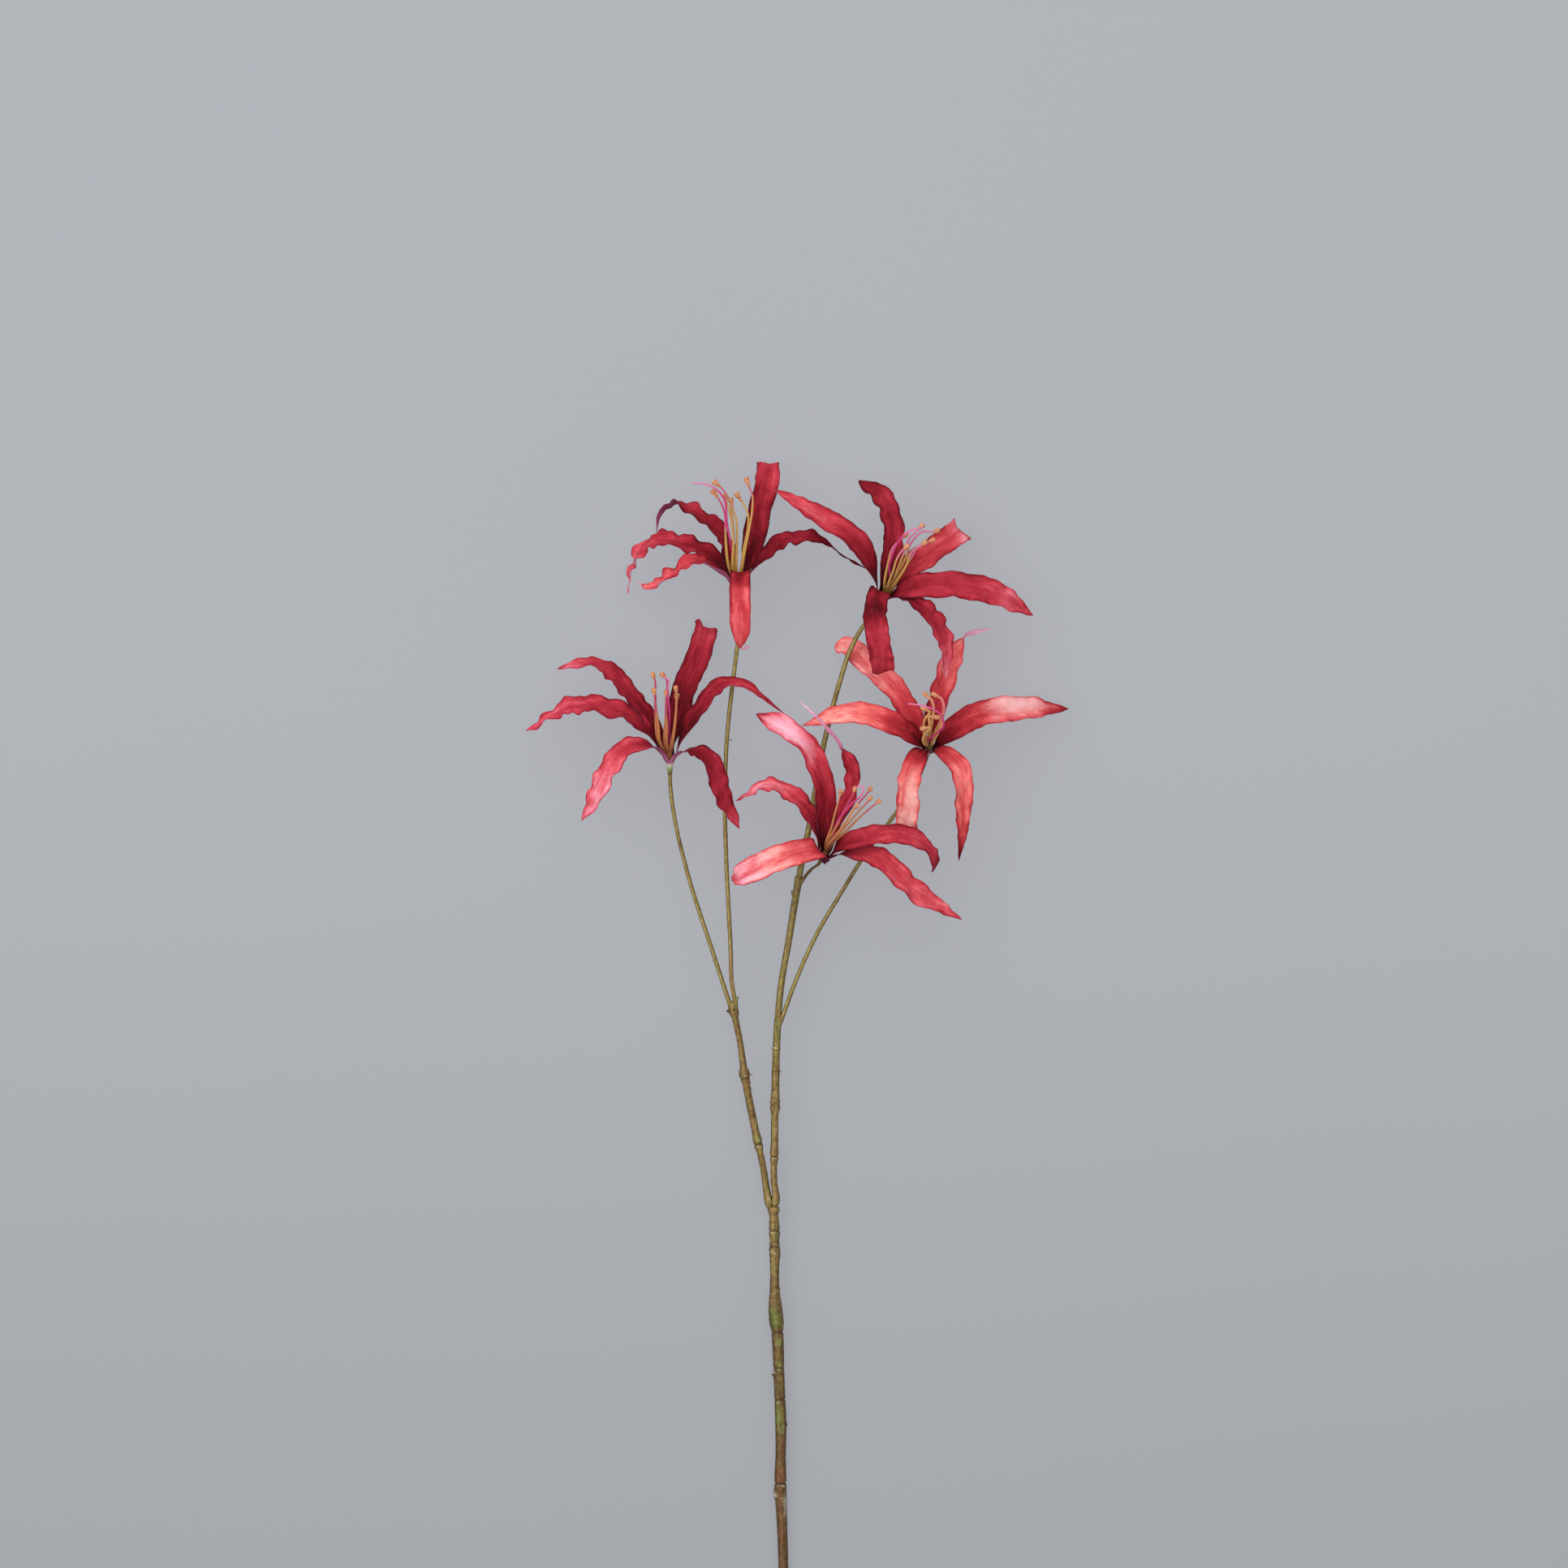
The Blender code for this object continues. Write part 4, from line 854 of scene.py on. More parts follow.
# Blooms. Tepals are in turn round the axis, from the one nearest the viewer above, and phase is the
# first one's turn. Points are on the midrib, from the heart. face is the way the inner face looks at
# mid length, and turn the further turn to the tip in degrees. Pairs are (part of the length, value):
# hem, or left and right, scales the half width, wave the ruffles, and roll is one more turn in
# degrees. slide is pairs of (place across from -1 to 1, millimetres along). claw is the width at the
# root, narrows the part of the length where the tip begins, depth scales the channel and scallop the
# cut edge. tone is 0 at the darkest print and 1 at the palest, as lilac is for the underside, and
# warm leads from crimson to coral. A blush is a pale patch: (strength, place along, spread, place
# across, spread). threadLook has a filament's colours at its foot, on its body and at its pink top,
# thread its radii at foot, middle and top, and anther is (width, length, outline). A stamen's route
# is seen from above, from the neck down to the plug, and pink says where that tint starts and how
# strong it gets. cup scales the receptacle's radii, and green is the part of its colours that shows,
# brown first.

bloomShape = dict(
    hubHeight=5.0,
    receptacleLength=8.0,
    rootRing=1.9,
    clawRing=2.8,
    rootWidth=3.4,
    clawRise=-0.8,
    opens=0.28,  # part of the length by which a tepal reaches its full width
    turnBy=0.36,  # and by which it has turned to its face
    # parts of the length between which the further turn, slide, channel and ruffles set in
    furtherTurn=(0.55, 0.95),
    slides=(0.55, 0.85),
    channelled=(0.06, 0.21),
    ruffled=(0.12, 0.4),
    waves=6.5,
    waveHeight=1.5,
    waveShift=1.9,
    scallops=((0.46, 5.0), (0.17, 11.0), (0.05, 40.0)),  # depth and waves of the bites along an edge
    channel=1.9,
    pleats=((0.14, 8.0, 2.4, 1.2), (0.06, 17.0, 3.0, 2.0)),  # height, beat across, wander and its waves
    thickness=0.42,
    lilac=((0.0, 0.42), (0.15, 0.3), (0.5, 0.4), (1.0, 0.9)),
    rows=176,
    columns=28,
    # outlines as (height, radius): the cup's from the hub's foot, the plug's from the heart
    cup=((-8.3, 1.3), (-7.3, 1.65), (-6.5, 1.4), (-4.9, 1.85), (-2.3, 2.2), (0.1, 2.6), (0.8, 2.2)),
    plug=((0.0, 2.0), (2.5, 1.9), (4.0, 1.5), (4.8, 0.7)),
    plugTop=2.6,  # height over the heart at which the filaments start
    style=((0.0, 0.65), (0.6, 0.68), (0.9, 0.55), (1.0, 0.35)),
    styleTints=((160, 50, 80), (200, 56, 118), (226, 120, 172)),
)
antherOutlines = dict(  # part of the length, and radius as a share of half the width
    flared=((0.0, 0.42), (0.35, 0.55), (0.62, 0.85), (0.9, 1.02), (0.97, 0.95), (1.0, 0.7)),
    round=((0.0, 0.45), (0.25, 0.75), (0.5, 0.95), (0.75, 1.0), (0.92, 0.8), (1.0, 0.5)),
)

blooms = (
    dict(
        heart=(-37.0, 273.0, 40.0), axis=(-0.13, 0.93, 0.34), phase=0.0,
        tepals=(
            dict(width=13.0, face=(0.0, 0.0, 1.0), narrows=0.8, wave=0.3, claw=6.0, opens=0.2,
                 scallop=0.25,
                 points=((1.5, 9.5, 11.0), (1.5, -9.0, 25.0), (1.6, -27.0, 26.0), (1.7, -34.5, 22.5),
                         (2.2, -39.0, 18.0), (4.8, -38.6, 16.0), (7.2, -37.0, 16.0)),
                 left=((0.68, 1.0), (0.76, 0.95), (0.83, 0.6), (0.915, 0.1), (0.94, 0.2), (0.97, 0.9),
                       (1.0, 1.5)),
                 right=((0.66, 1.0), (0.76, 0.82), (0.84, 0.5), (0.915, 0.1), (0.94, 0.2), (0.97, 0.9),
                        (1.0, 1.5)),
                 roll=((0.9, 0.0), (0.95, 160.0)),
                 tone=((0.0, 0.1), (0.2, 0.22), (0.32, 0.32), (0.42, 0.6), (0.8, 0.66), (1.0, 0.85)),
                 warm=0.6),
            dict(width=10.5, face=(0.0, 0.5, 0.85), turn=50.0, narrows=0.5,
                 wave=((0.0, 0.8), (0.55, 1.2), (0.8, 0.5)),
                 left=((0.48, 1.0), (0.6, 0.75), (0.72, 0.38), (1.0, 0.3)),
                 right=((0.48, 1.0), (0.6, 0.7), (0.72, 0.38), (1.0, 0.3)),
                 roll=((0.66, 0.0), (0.8, 130.0), (0.92, 20.0)),
                 lilac=((0.0, 0.2), (0.7, 0.0), (1.0, 0.2)),
                 points=((10.0, 11.5, 6.0), (25.5, 27.0, 9.0), (48.0, 30.0, 3.0), (64.0, 19.0, -5.0),
                         (80.0, 10.5, -9.0)),
                 tone=((0.0, 0.03), (0.25, 0.18), (0.5, 0.34), (0.8, 0.24), (1.0, 0.15)), warm=0.1),
            dict(width=14.5, face=(0.0, 0.0, 1.0), narrows=0.8, wave=0.5,
                 points=((6.5, 14.5, 0.0), (10.5, 32.0, 1.0), (14.5, 50.5, -2.0), (18.5, 67.0, -8.0),
                         (19.0, 76.5, -13.0), (17.5, 76.0, -20.0), (15.0, 72.0, -28.0)),
                 slide=((-1.0, -0.4), (-0.5, -0.5), (0.2, 0.2), (0.7, 0.6), (1.0, -0.4)), lilac=0.0,
                 tone=((0.0, 0.0), (0.15, 0.08), (0.4, 0.22), (0.6, 0.33), (0.75, 0.52), (1.0, 0.5)),
                 warm=0.1),
            dict(width=12.0, face=(0.4, 0.5, 0.6), turn=70.0, narrows=0.6,
                 wave=((0.0, 1.0), (0.65, 1.3), (0.85, 0.2)), hem=((0.72, 1.0), (0.84, 0.42), (1.0, 0.3)),
                 points=((-3.5, 11.0, -1.0), (-9.5, 32.0, 1.0), (-25.5, 46.0, 1.0), (-37.0, 51.5, -3.0),
                         (-46.5, 47.5, -8.0), (-50.5, 33.5, -17.0)),
                 lilac=((0.0, 0.4), (0.5, 0.2), (0.8, 0.15), (1.0, 0.35)),
                 tone=((0.0, 0.03), (0.3, 0.28), (0.6, 0.36), (0.8, 0.2), (1.0, 0.1)), warm=0.1),
            dict(width=14.0, face=(0.0, 0.7, 0.7), narrows=0.55, wave=((0.0, 0.7), (0.5, 1.3), (1.0, 1.8)),
                 points=((-13.5, 18.0, 0.0), (-33.5, 27.0, 1.0), (-54.0, 28.0, -3.0), (-65.5, 13.5, -12.0),
                         (-68.0, -4.5, -20.0)),
                 tone=((0.0, 0.03), (0.2, 0.25), (0.45, 0.45), (0.6, 0.58), (0.8, 0.66), (1.0, 0.95)),
                 warm=0.15),
            dict(width=11.5, face=(0.0, 0.8, 0.6), narrows=0.7,
                 wave=((0.0, 0.5), (0.45, 0.7), (0.6, 1.2), (1.0, 0.8)), turnBy=0.5, depth=1.7,
                 left=((0.5, 1.0), (0.62, 0.7), (0.85, 0.6), (1.0, 0.7)),
                 right=((0.5, 1.0), (0.62, 0.8), (1.0, 0.7)),
                 points=((-9.0, 9.0, 8.0), (-26.0, 16.5, 17.0), (-40.0, 8.5, 18.0), (-53.0, 0.0, 10.0),
                         (-61.5, 1.5, 2.0)),
                 roll=((0.88, 0.0), (1.0, 110.0)), lilac=((0.0, 0.25), (0.4, 0.4), (1.0, 1.0)),
                 tone=((0.0, 0.08), (0.2, 0.3), (0.5, 0.58), (0.85, 0.75), (1.0, 1.0)), warm=0.5),
        ),
        threadLook=((170, 128, 64), (196, 150, 80), (200, 62, 120)), anther=(3.6, 6.4, "flared"),
        thread=(1.05, 0.74, 0.5),
        stamens=(
            dict(tip=(-16.0, 65.0, 16.0), neck=(-10.2, 60.0, 17.0), pink=(0.7, 0.8),
                 route=((-5.5, 53.0), (-3.2, 40.0), (-2.5, 24.0))),
            dict(tip=(-16.0, 59.0, 20.0), neck=(-12.0, 53.5, 19.0), pink=(0.52, 1.0),
                 route=((-8.0, 44.5), (-7.5, 34.0), (-5.5, 12.0))),
            dict(tip=(-8.5, 56.0, 24.0), neck=(-6.5, 50.0, 23.0), pink=(0.85, 0.5),
                 route=((-4.0, 41.0), (-2.6, 28.5), (-3.0, 12.0))),
            dict(tip=(-4.5, 53.5, 18.0), neck=(-3.0, 47.5, 18.0), pink=(0.85, 0.3),
                 route=((-1.0, 41.0), (-0.5, 28.5), (-1.0, 11.0))),
            dict(tip=(-2.0, 58.0, 21.0), neck=(2.5, 51.5, 20.0), pink=(0.9, 0.3),
                 route=((6.5, 43.0), (6.5, 37.0), (4.0, 23.0), (2.3, 11.0))),
            dict(tip=(4.5, 67.5, 24.0), neck=(7.2, 60.0, 23.0), pink=(0.78, 0.9),
                 route=((9.0, 55.5), (9.0, 46.5), (7.0, 34.0), (4.0, 19.5), (2.6, 11.0))),
        ),
        style=((-6.5, 38.0, 23.5), (-9.0, 54.0, 28.5), (-13.0, 58.5, 29.5), (-19.0, 61.5, 29.5),
               (-28.0, 62.5, 28.0)),
    ),
    dict(
        heart=(52.5, 266.5, 48.0), axis=(0.35, 0.68, 0.64), phase=-10.0,
        tepals=(
            dict(width=14.5, face=(0.0, 0.0, 1.0), narrows=0.8, wave=0.6, opens=0.22, claw=4.5,
                 points=((-1.5, 4.0, 12.0), (-5.0, -7.5, 22.0), (-4.5, -20.5, 27.0), (-2.0, -34.0, 24.0),
                         (0.0, -45.5, 14.0), (0.5, -46.0, 4.0)),
                 slide=((-1.0, 1.0), (0.0, -0.3), (1.0, 0.6)),
                 tone=((0.0, 0.03), (0.15, 0.2), (0.24, 0.28), (0.36, 0.08), (0.52, 0.46), (0.8, 0.58),
                       (1.0, 0.5)),
                 warm=0.05),
            dict(width=12.5, face=(0.3, 0.5, 0.8), narrows=0.6,
                 wave=((0.0, 0.8), (0.6, 0.9), (0.8, 0.3), (1.0, 0.1)),
                 points=((15.5, -0.5, 12.0), (28.5, -10.5, 19.0), (38.5, -29.5, 15.0), (38.5, -51.0, 7.0)),
                 tone=((0.0, 0.02), (0.2, 0.12), (0.45, 0.42), (0.7, 0.55), (0.88, 0.68), (1.0, 1.05)),
                 warm=0.05),
            dict(width=16.5, face=(0.0, 0.2, 1.0), narrows=0.62, wave=0.45, opens=0.22,
                 points=((11.0, 4.0, 9.0), (37.5, 7.0, 13.0), (69.0, 2.0, 4.0), (92.5, -11.5, -12.0)),
                 tone=((0.0, 0.08), (0.15, 0.42), (0.35, 0.5), (0.6, 0.48), (0.8, 0.74), (1.0, 0.5)),
                 warm=0.1),
            dict(width=15.5, face=(-0.2, -0.1, 1.0), narrows=0.85, wave=0.4,
                 points=((11.0, 14.0, 3.0), (28.5, 27.0, -2.0), (41.5, 36.5, -10.0), (48.0, 41.5, -18.0),
                         (48.3, 41.5, -25.0), (46.0, 39.5, -35.5), (42.0, 36.5, -47.0)),
                 slide=((-1.0, 0.8), (-0.2, 0.8), (0.35, -1.0), (1.0, 1.4)),
                 tone=((0.0, 0.08), (0.2, 0.42), (0.45, 0.52), (0.58, 0.64), (0.68, 0.8), (0.74, 0.5),
                       (1.0, 0.4)),
                 warm=0.3),
            dict(width=13.0, face=(0.2, -0.1, 1.0), narrows=0.77, wave=0.6,
                 points=((1.0, 8.5, 5.0), (6.5, 38.5, 7.0), (4.0, 53.0, 1.0), (-2.5, 64.0, -6.0),
                         (-15.0, 71.0, -15.0)),
                 slide=((-1.0, 0.8), (0.0, 0.0), (1.0, -0.6)), lilac=-0.2,
                 tone=((0.0, 0.0), (0.25, 0.16), (0.5, 0.32), (0.75, 0.36), (1.0, 0.2)), warm=0.05),
            dict(width=14.5, face=(0.3, 0.3, 0.9), narrows=0.5, wave=0.45,
                 points=((-4.5, 10.5, 6.0), (-15.0, 33.0, 11.0), (-38.5, 49.5, 8.0), (-67.0, 66.0, -4.0)),
                 tone=((0.0, 0.0), (0.25, 0.3), (0.5, 0.44), (0.7, 0.6), (0.9, 0.72), (1.0, 0.66)),
                 warm=0.25, blush=((0.35, 0.75, 0.18, 0.2, 0.5),)),
        ),
        threadLook=((150, 112, 58), (200, 152, 86), (214, 112, 156)), anther=(3.2, 4.4, "round"),
        thread=(0.92, 0.74, 0.52),
        stamens=(
            dict(tip=(25.5, 44.5, 28.0), neck=(21.5, 40.5, 28.5), pink=(0.5, 0.9),
                 route=((16.0, 35.0), (12.0, 25.0), (8.0, 14.0))),
            dict(tip=(14.5, 37.5, 32.0), neck=(11.5, 35.0, 31.5), pink=(0.62, 0.85),
                 route=((6.0, 29.5), (2.5, 18.5), (0.8, 9.0))),
            dict(tip=(33.8, 39.8, 26.0), neck=(30.5, 38.8, 28.0), pink=(0.5, 1.0),
                 route=((24.0, 39.0), (17.5, 33.0), (13.0, 22.0), (6.0, 9.0))),
            dict(tip=(30.5, 34.0, 30.0), neck=(27.5, 32.5, 31.0), pink=(0.55, 0.9),
                 route=((22.0, 30.5), (16.5, 22.5), (9.5, 11.0))),
            dict(tip=(26.0, 32.5, 33.0), neck=(23.0, 30.5, 33.0), pink=(0.65, 0.7),
                 route=((17.5, 27.0), (13.5, 17.5), (7.5, 8.5))),
            dict(tip=(14.5, 30.0, 35.0), neck=(12.0, 28.0, 34.0), pink=(0.7, 0.7),
                 route=((8.0, 22.0), (6.0, 15.5), (3.5, 8.5))),
        ),
        style=((4.0, 21.0, 27.0), (10.0, 34.0, 36.0), (17.0, 39.5, 39.0), (24.0, 41.0, 39.0)),
    ),
    dict(
        heart=(-79.0, 167.0, 40.0), axis=(-0.02, 0.94, 0.34), phase=30.0,
        tepals=(
            dict(width=12.5, face=(0.4, 0.3, 0.85), narrows=0.6, wave=0.7,
                 points=((12.5, 5.5, 11.0), (25.5, -0.5, 18.0), (32.5, -21.5, 18.0), (43.0, -43.5, 8.0)),
                 tone=((0.0, 0.05), (0.2, 0.25), (0.45, 0.32), (0.7, 0.36), (0.85, 0.5), (1.0, 0.6)),
                 warm=0.05),
            dict(width=10.5, face=(-0.1, 0.6, 0.75), turn=45.0, narrows=0.45, wave=0.5,
                 hem=((0.55, 1.0), (0.68, 0.7), (0.85, 0.5), (1.0, 0.5)),
                 points=((6.5, 11.0, 7.0), (19.0, 32.0, 9.0), (34.0, 47.0, 6.0), (46.0, 46.0, 4.0),
                         (57.5, 37.5, 2.5), (70.5, 27.5, 0.0)),
                 tone=((0.0, 0.03), (0.3, 0.15), (0.5, 0.42), (0.75, 0.6), (1.0, 0.45)), warm=0.15),
            dict(width=15.0, face=(0.0, 0.0, 1.0), narrows=0.85, wave=0.5,
                 points=((0.5, 8.0, -1.5), (4.5, 24.5, -1.0), (8.5, 41.5, -4.0), (15.0, 57.0, -9.0),
                         (20.5, 73.0, -17.0), (21.0, 79.5, -25.5), (16.5, 77.0, -37.8)),
                 slide=((-1.0, 1.8), (-0.3, 2.2), (0.2, 2.6), (0.55, 5.5), (0.85, 6.5), (1.0, 4.5)),
                 lilac=-0.2,
                 tone=((0.0, 0.0), (0.2, 0.08), (0.5, 0.26), (0.7, 0.38), (0.8, 0.62), (1.0, 0.5)),
                 warm=0.02),
            dict(width=13.0, face=(0.5, 0.4, 0.75), narrows=0.78,
                 wave=((0.0, 0.9), (0.7, 0.9), (0.8, 0.3), (1.0, 0.1)),
                 left=((0.68, 1.0), (0.77, 0.55), (0.85, 0.95), (1.0, 1.0)),
                 right=((0.68, 1.0), (0.77, 0.6), (0.85, 0.95), (1.0, 1.0)),
                 points=((-8.5, 18.5, 0.0), (-25.0, 41.0, 2.0), (-42.0, 58.0, 0.0), (-55.0, 59.0, -6.0),
                         (-69.5, 55.0, -12.0)),
                 tone=((0.0, 0.02), (0.25, 0.25), (0.55, 0.4), (0.8, 0.62), (0.95, 0.8), (1.0, 0.75)),
                 warm=0.05),
            dict(width=14.0, face=(0.1, 0.6, 0.8), narrows=0.55, wave=1.35, scallop=1.3,
                 points=((-14.5, 19.5, 6.0), (-38.0, 32.0, 8.0), (-58.0, 33.0, 4.0), (-89.0, 16.5, -10.0)),
                 tone=((0.0, 0.03), (0.3, 0.4), (0.55, 0.5), (0.8, 0.66), (1.0, 0.74)), warm=0.05),
            dict(width=12.8, face=(-0.2, 0.3, 0.9), narrows=0.6, wave=0.6,
                 points=((-12.5, 9.0, 12.0), (-28.0, 5.5, 20.0), (-39.0, -10.0, 22.0),
                         (-46.5, -25.5, 17.0), (-54.0, -38.5, 8.0)),
                 tone=((0.0, 0.08), (0.2, 0.42), (0.4, 0.62), (0.55, 0.78), (0.8, 0.86), (1.0, 0.85)),
                 warm=0.12, blush=((0.4, 0.72, 0.2, -0.1, 0.6),)),
        ),
        threadLook=((140, 78, 44), (190, 120, 76), (178, 54, 96)), anther=(3.2, 4.6, "round"),
        thread=(1.1, 0.88, 0.55),
        stamens=(
            dict(tip=(-10.5, 52.5, 18.0), neck=(-9.0, 48.5, 18.0), pink=(0.42, 0.9),
                 route=((-8.6, 39.0), (-8.3, 25.0), (-6.8, 11.0))),
            dict(tip=(-9.5, 42.5, 20.0), neck=(-9.0, 38.5, 20.0), pink=(0.6, 0.8),
                 route=((-8.0, 30.0), (-6.8, 20.0), (-5.8, 10.0))),
            dict(tip=(-5.5, 52.8, 22.0), neck=(-2.2, 49.0, 22.0), pink=(0.5, 0.8),
                 route=((-1.5, 39.0), (-2.0, 24.5), (-2.8, 10.0))),
            dict(tip=(-1.5, 42.0, 22.0), neck=(-1.8, 37.5, 21.0), pink=(0.55, 0.8),
                 route=((-2.0, 30.0), (-1.5, 20.0), (-1.8, 9.0))),
            dict(tip=(4.0, 44.0, 19.0), neck=(4.3, 40.0, 19.0), pink=(0.9, 0.3),
                 route=((4.4, 33.0), (3.6, 22.0), (1.6, 8.0))),
            dict(tip=(4.6, 39.5, 16.0), neck=(4.6, 35.5, 16.0), pink=(0.8, 0.4),
                 route=((4.0, 28.0), (3.0, 18.0), (1.0, 8.0))),
        ),
        style=((0.0, 29.0, 18.0), (-0.8, 42.0, 24.5), (-0.6, 48.0, 27.5), (-3.6, 49.5, 28.0)),
    ),
    dict(
        heart=(81.0, 173.0, 38.0), axis=(0.1, 0.4, 0.91), phase=0.0,
        tepals=(
            dict(width=14.0, face=(-0.2, 0.2, 1.0), narrows=0.8, wave=0.45,
                 points=((-4.5, -0.5, 11.0), (-12.0, -17.0, 16.0), (-13.5, -37.0, 9.0),
                         (-14.5, -59.0, -5.0)),
                 tone=((0.0, 0.1), (0.15, 0.3), (0.3, 0.54), (0.5, 0.8), (0.8, 0.9), (1.0, 0.88)),
                 warm=0.8, blush=((0.9, 0.56, 0.22, 0.1, 0.55), (0.4, 0.95, 0.12, -0.3, 0.5))),
            dict(width=12.5, face=(0.2, 0.3, 0.9), turn=20.0, narrows=0.4, wave=0.6,
                 hem=((0.5, 1.0), (0.7, 0.8), (1.0, 0.75)),
                 points=((5.5, -0.5, 12.0), (18.5, -11.5, 19.0), (21.0, -36.0, 13.0), (18.5, -69.5, -8.0)),
                 tone=((0.0, 0.1), (0.2, 0.58), (0.4, 0.78), (0.6, 0.68), (0.8, 0.52), (0.93, 0.2),
                       (1.0, 0.1)),
                 warm=0.85, blush=((0.6, 0.5, 0.2, -0.8, 0.5),)),
            dict(width=16.0, face=(0.0, 0.1, 1.0), narrows=0.55, wave=0.45,
                 points=((7.0, 6.0, 12.0), (27.0, 19.5, 12.0), (57.0, 25.0, -3.0), (86.5, 24.5, -22.0)),
                 tone=((0.0, 0.02), (0.15, 0.2), (0.35, 0.5), (0.55, 0.72), (0.8, 0.8), (0.92, 0.45),
                       (1.0, 0.3)),
                 warm=0.6, blush=((1.2, 0.68, 0.2, 0.45, 0.9),)),
            dict(width=13.5, face=(0.3, 0.1, 1.0), narrows=0.7, wave=0.45,
                 hem=((0.65, 1.0), (0.8, 0.35), (0.9, 0.4), (1.0, 0.5)), roll=((0.76, 0.0), (0.85, 150.0)),
                 lilac=((0.0, 0.4), (0.8, 0.75), (1.0, 0.85)),
                 points=((2.5, 18.5, 11.0), (9.0, 40.0, 3.0), (17.0, 61.0, -8.0), (26.0, 71.0, -14.0),
                         (39.0, 74.0, -20.0)),
                 tone=((0.0, 0.02), (0.25, 0.32), (0.5, 0.66), (0.75, 0.78), (1.0, 0.8)), warm=0.7),
            dict(width=14.5, face=(0.2, 0.2, 1.0), narrows=0.95, wave=0.5,
                 points=((-5.5, 8.5, 12.0), (-19.0, 34.0, 8.0), (-37.5, 52.0, -5.0), (-50.0, 63.5, -17.0),
                         (-57.5, 64.5, -22.0)),
                 left=((0.75, 1.0), (0.86, 1.0), (1.0, 0.95)),
                 right=((0.75, 1.0), (0.86, 0.95), (1.0, 0.95)),
                 tone=((0.0, 0.02), (0.2, 0.3), (0.45, 0.64), (0.7, 0.84), (0.84, 0.7), (0.9, 0.88),
                       (1.0, 0.84)),
                 warm=0.75, blush=((0.8, 0.7, 0.12, 0.9, 0.4),)),
            dict(width=14.5, face=(0.0, 0.3, 1.0), narrows=0.55, wave=0.5,
                 points=((-6.5, 5.0, 13.0), (-26.5, 17.5, 18.0), (-49.0, 22.0, 11.0), (-78.0, 14.0, 1.0)),
                 tone=((0.0, 0.02), (0.2, 0.16), (0.4, 0.46), (0.6, 0.8), (0.85, 0.88), (1.0, 0.8)),
                 warm=0.85, blush=((0.3, 0.66, 0.15, -0.4, 0.5),)),
        ),
        threadLook=((140, 120, 64), (206, 152, 92), (214, 110, 116)), anther=(2.9, 6.0, "round"),
        thread=(1.25, 1.05, 0.85),
        stamens=(
            dict(tip=(-5.0, 34.5, 30.0), neck=(0.0, 30.5, 31.0), pink=(0.7, 0.5),
                 route=((2.0, 26.0), (1.5, 18.0), (0.0, 9.0))),
            dict(tip=(0.0, 34.0, 32.0), neck=(6.0, 31.0, 32.0), pink=(0.45, 0.8),
                 route=((8.3, 26.0), (8.0, 20.5), (5.5, 14.0), (2.0, 7.0))),
            dict(tip=(-6.0, 25.0, 36.0), neck=(-0.5, 22.5, 37.0), pink=(0.9, 0.2),
                 route=((-3.0, 18.0), (-4.0, 12.0), (-2.0, 6.0))),
            dict(tip=(5.5, 18.5, 39.0), neck=(0.0, 19.5, 39.0), pink=(0.9, 0.2),
                 route=((-0.5, 14.0), (-3.0, 8.5), (-2.0, 4.0))),
            dict(tip=(-4.5, 12.0, 38.0), neck=(-0.5, 12.5, 38.0), pink=(0.9, 0.2),
                 route=((-3.0, 9.0), (-4.0, 4.0), (-1.5, 2.0))),
            dict(tip=(6.5, 20.5, 36.0), neck=(7.0, 15.0, 36.0), pink=(0.9, 0.2),
                 route=((5.0, 10.0), (3.0, 6.0), (1.5, 3.0))),
        ),
        style=((-1.0, 5.0, 18.0), (5.0, 10.0, 34.0), (8.0, 15.0, 44.0), (6.0, 20.5, 47.0),
               (0.5, 24.0, 48.0), (-5.5, 26.0, 48.5), (-14.0, 27.0, 48.0)),
    ),
    dict(
        heart=(16.0, 107.0, 45.0), axis=(0.33, 0.55, 0.77), phase=-20.0, cup=0.68, green=0.25,
        tepals=(
            dict(width=16.5, face=(-0.3, 0.2, 1.0), narrows=0.86, wave=0.45, opens=0.12, claw=10.0,
                 scallop=0.35, slide=((-1.0, -0.8), (0.0, 0.0), (1.0, -0.8)),
                 left=((0.72, 1.0), (0.82, 0.86), (0.9, 0.55), (1.0, 0.4)),
                 right=((0.72, 1.0), (0.82, 0.9), (0.9, 0.6), (1.0, 0.4)),
                 lilac=((0.0, -0.2), (0.2, 0.0), (1.0, 0.3)),
                 points=((-2.5, 4.5, 12.5), (-12.0, 3.2, 18.0), (-30.0, -2.0, 22.0), (-43.0, -8.0, 18.0),
                         (-54.5, -13.5, 9.0), (-57.0, -15.5, -1.0)),
                 tone=((0.0, 0.1), (0.12, 0.35), (0.22, 0.6), (0.4, 0.76), (0.6, 0.9), (0.85, 0.86),
                       (1.0, 0.75)),
                 warm=((0.0, 0.3), (0.5, 0.8), (0.8, 0.2), (1.0, 0.1)),
                 blush=((1.0, 0.7, 0.16, 0.6, 0.4), (0.2, 0.5, 0.15, -0.3, 0.5))),
            dict(width=14.0, face=(0.2, 0.4, 0.9), narrows=0.72, wave=0.7,
                 lilac=((0.0, 0.0), (0.3, 0.1), (1.0, 0.8)), hem=((0.72, 1.0), (0.86, 0.6), (1.0, 0.7)),
                 points=((12.5, 2.0, 11.0), (34.5, -1.5, 15.0), (54.0, -19.5, 11.0), (85.0, -39.5, -3.0)),
                 tone=((0.0, 0.1), (0.2, 0.44), (0.45, 0.62), (0.7, 0.66), (0.9, 0.74), (1.0, 0.7)),
                 warm=0.3),
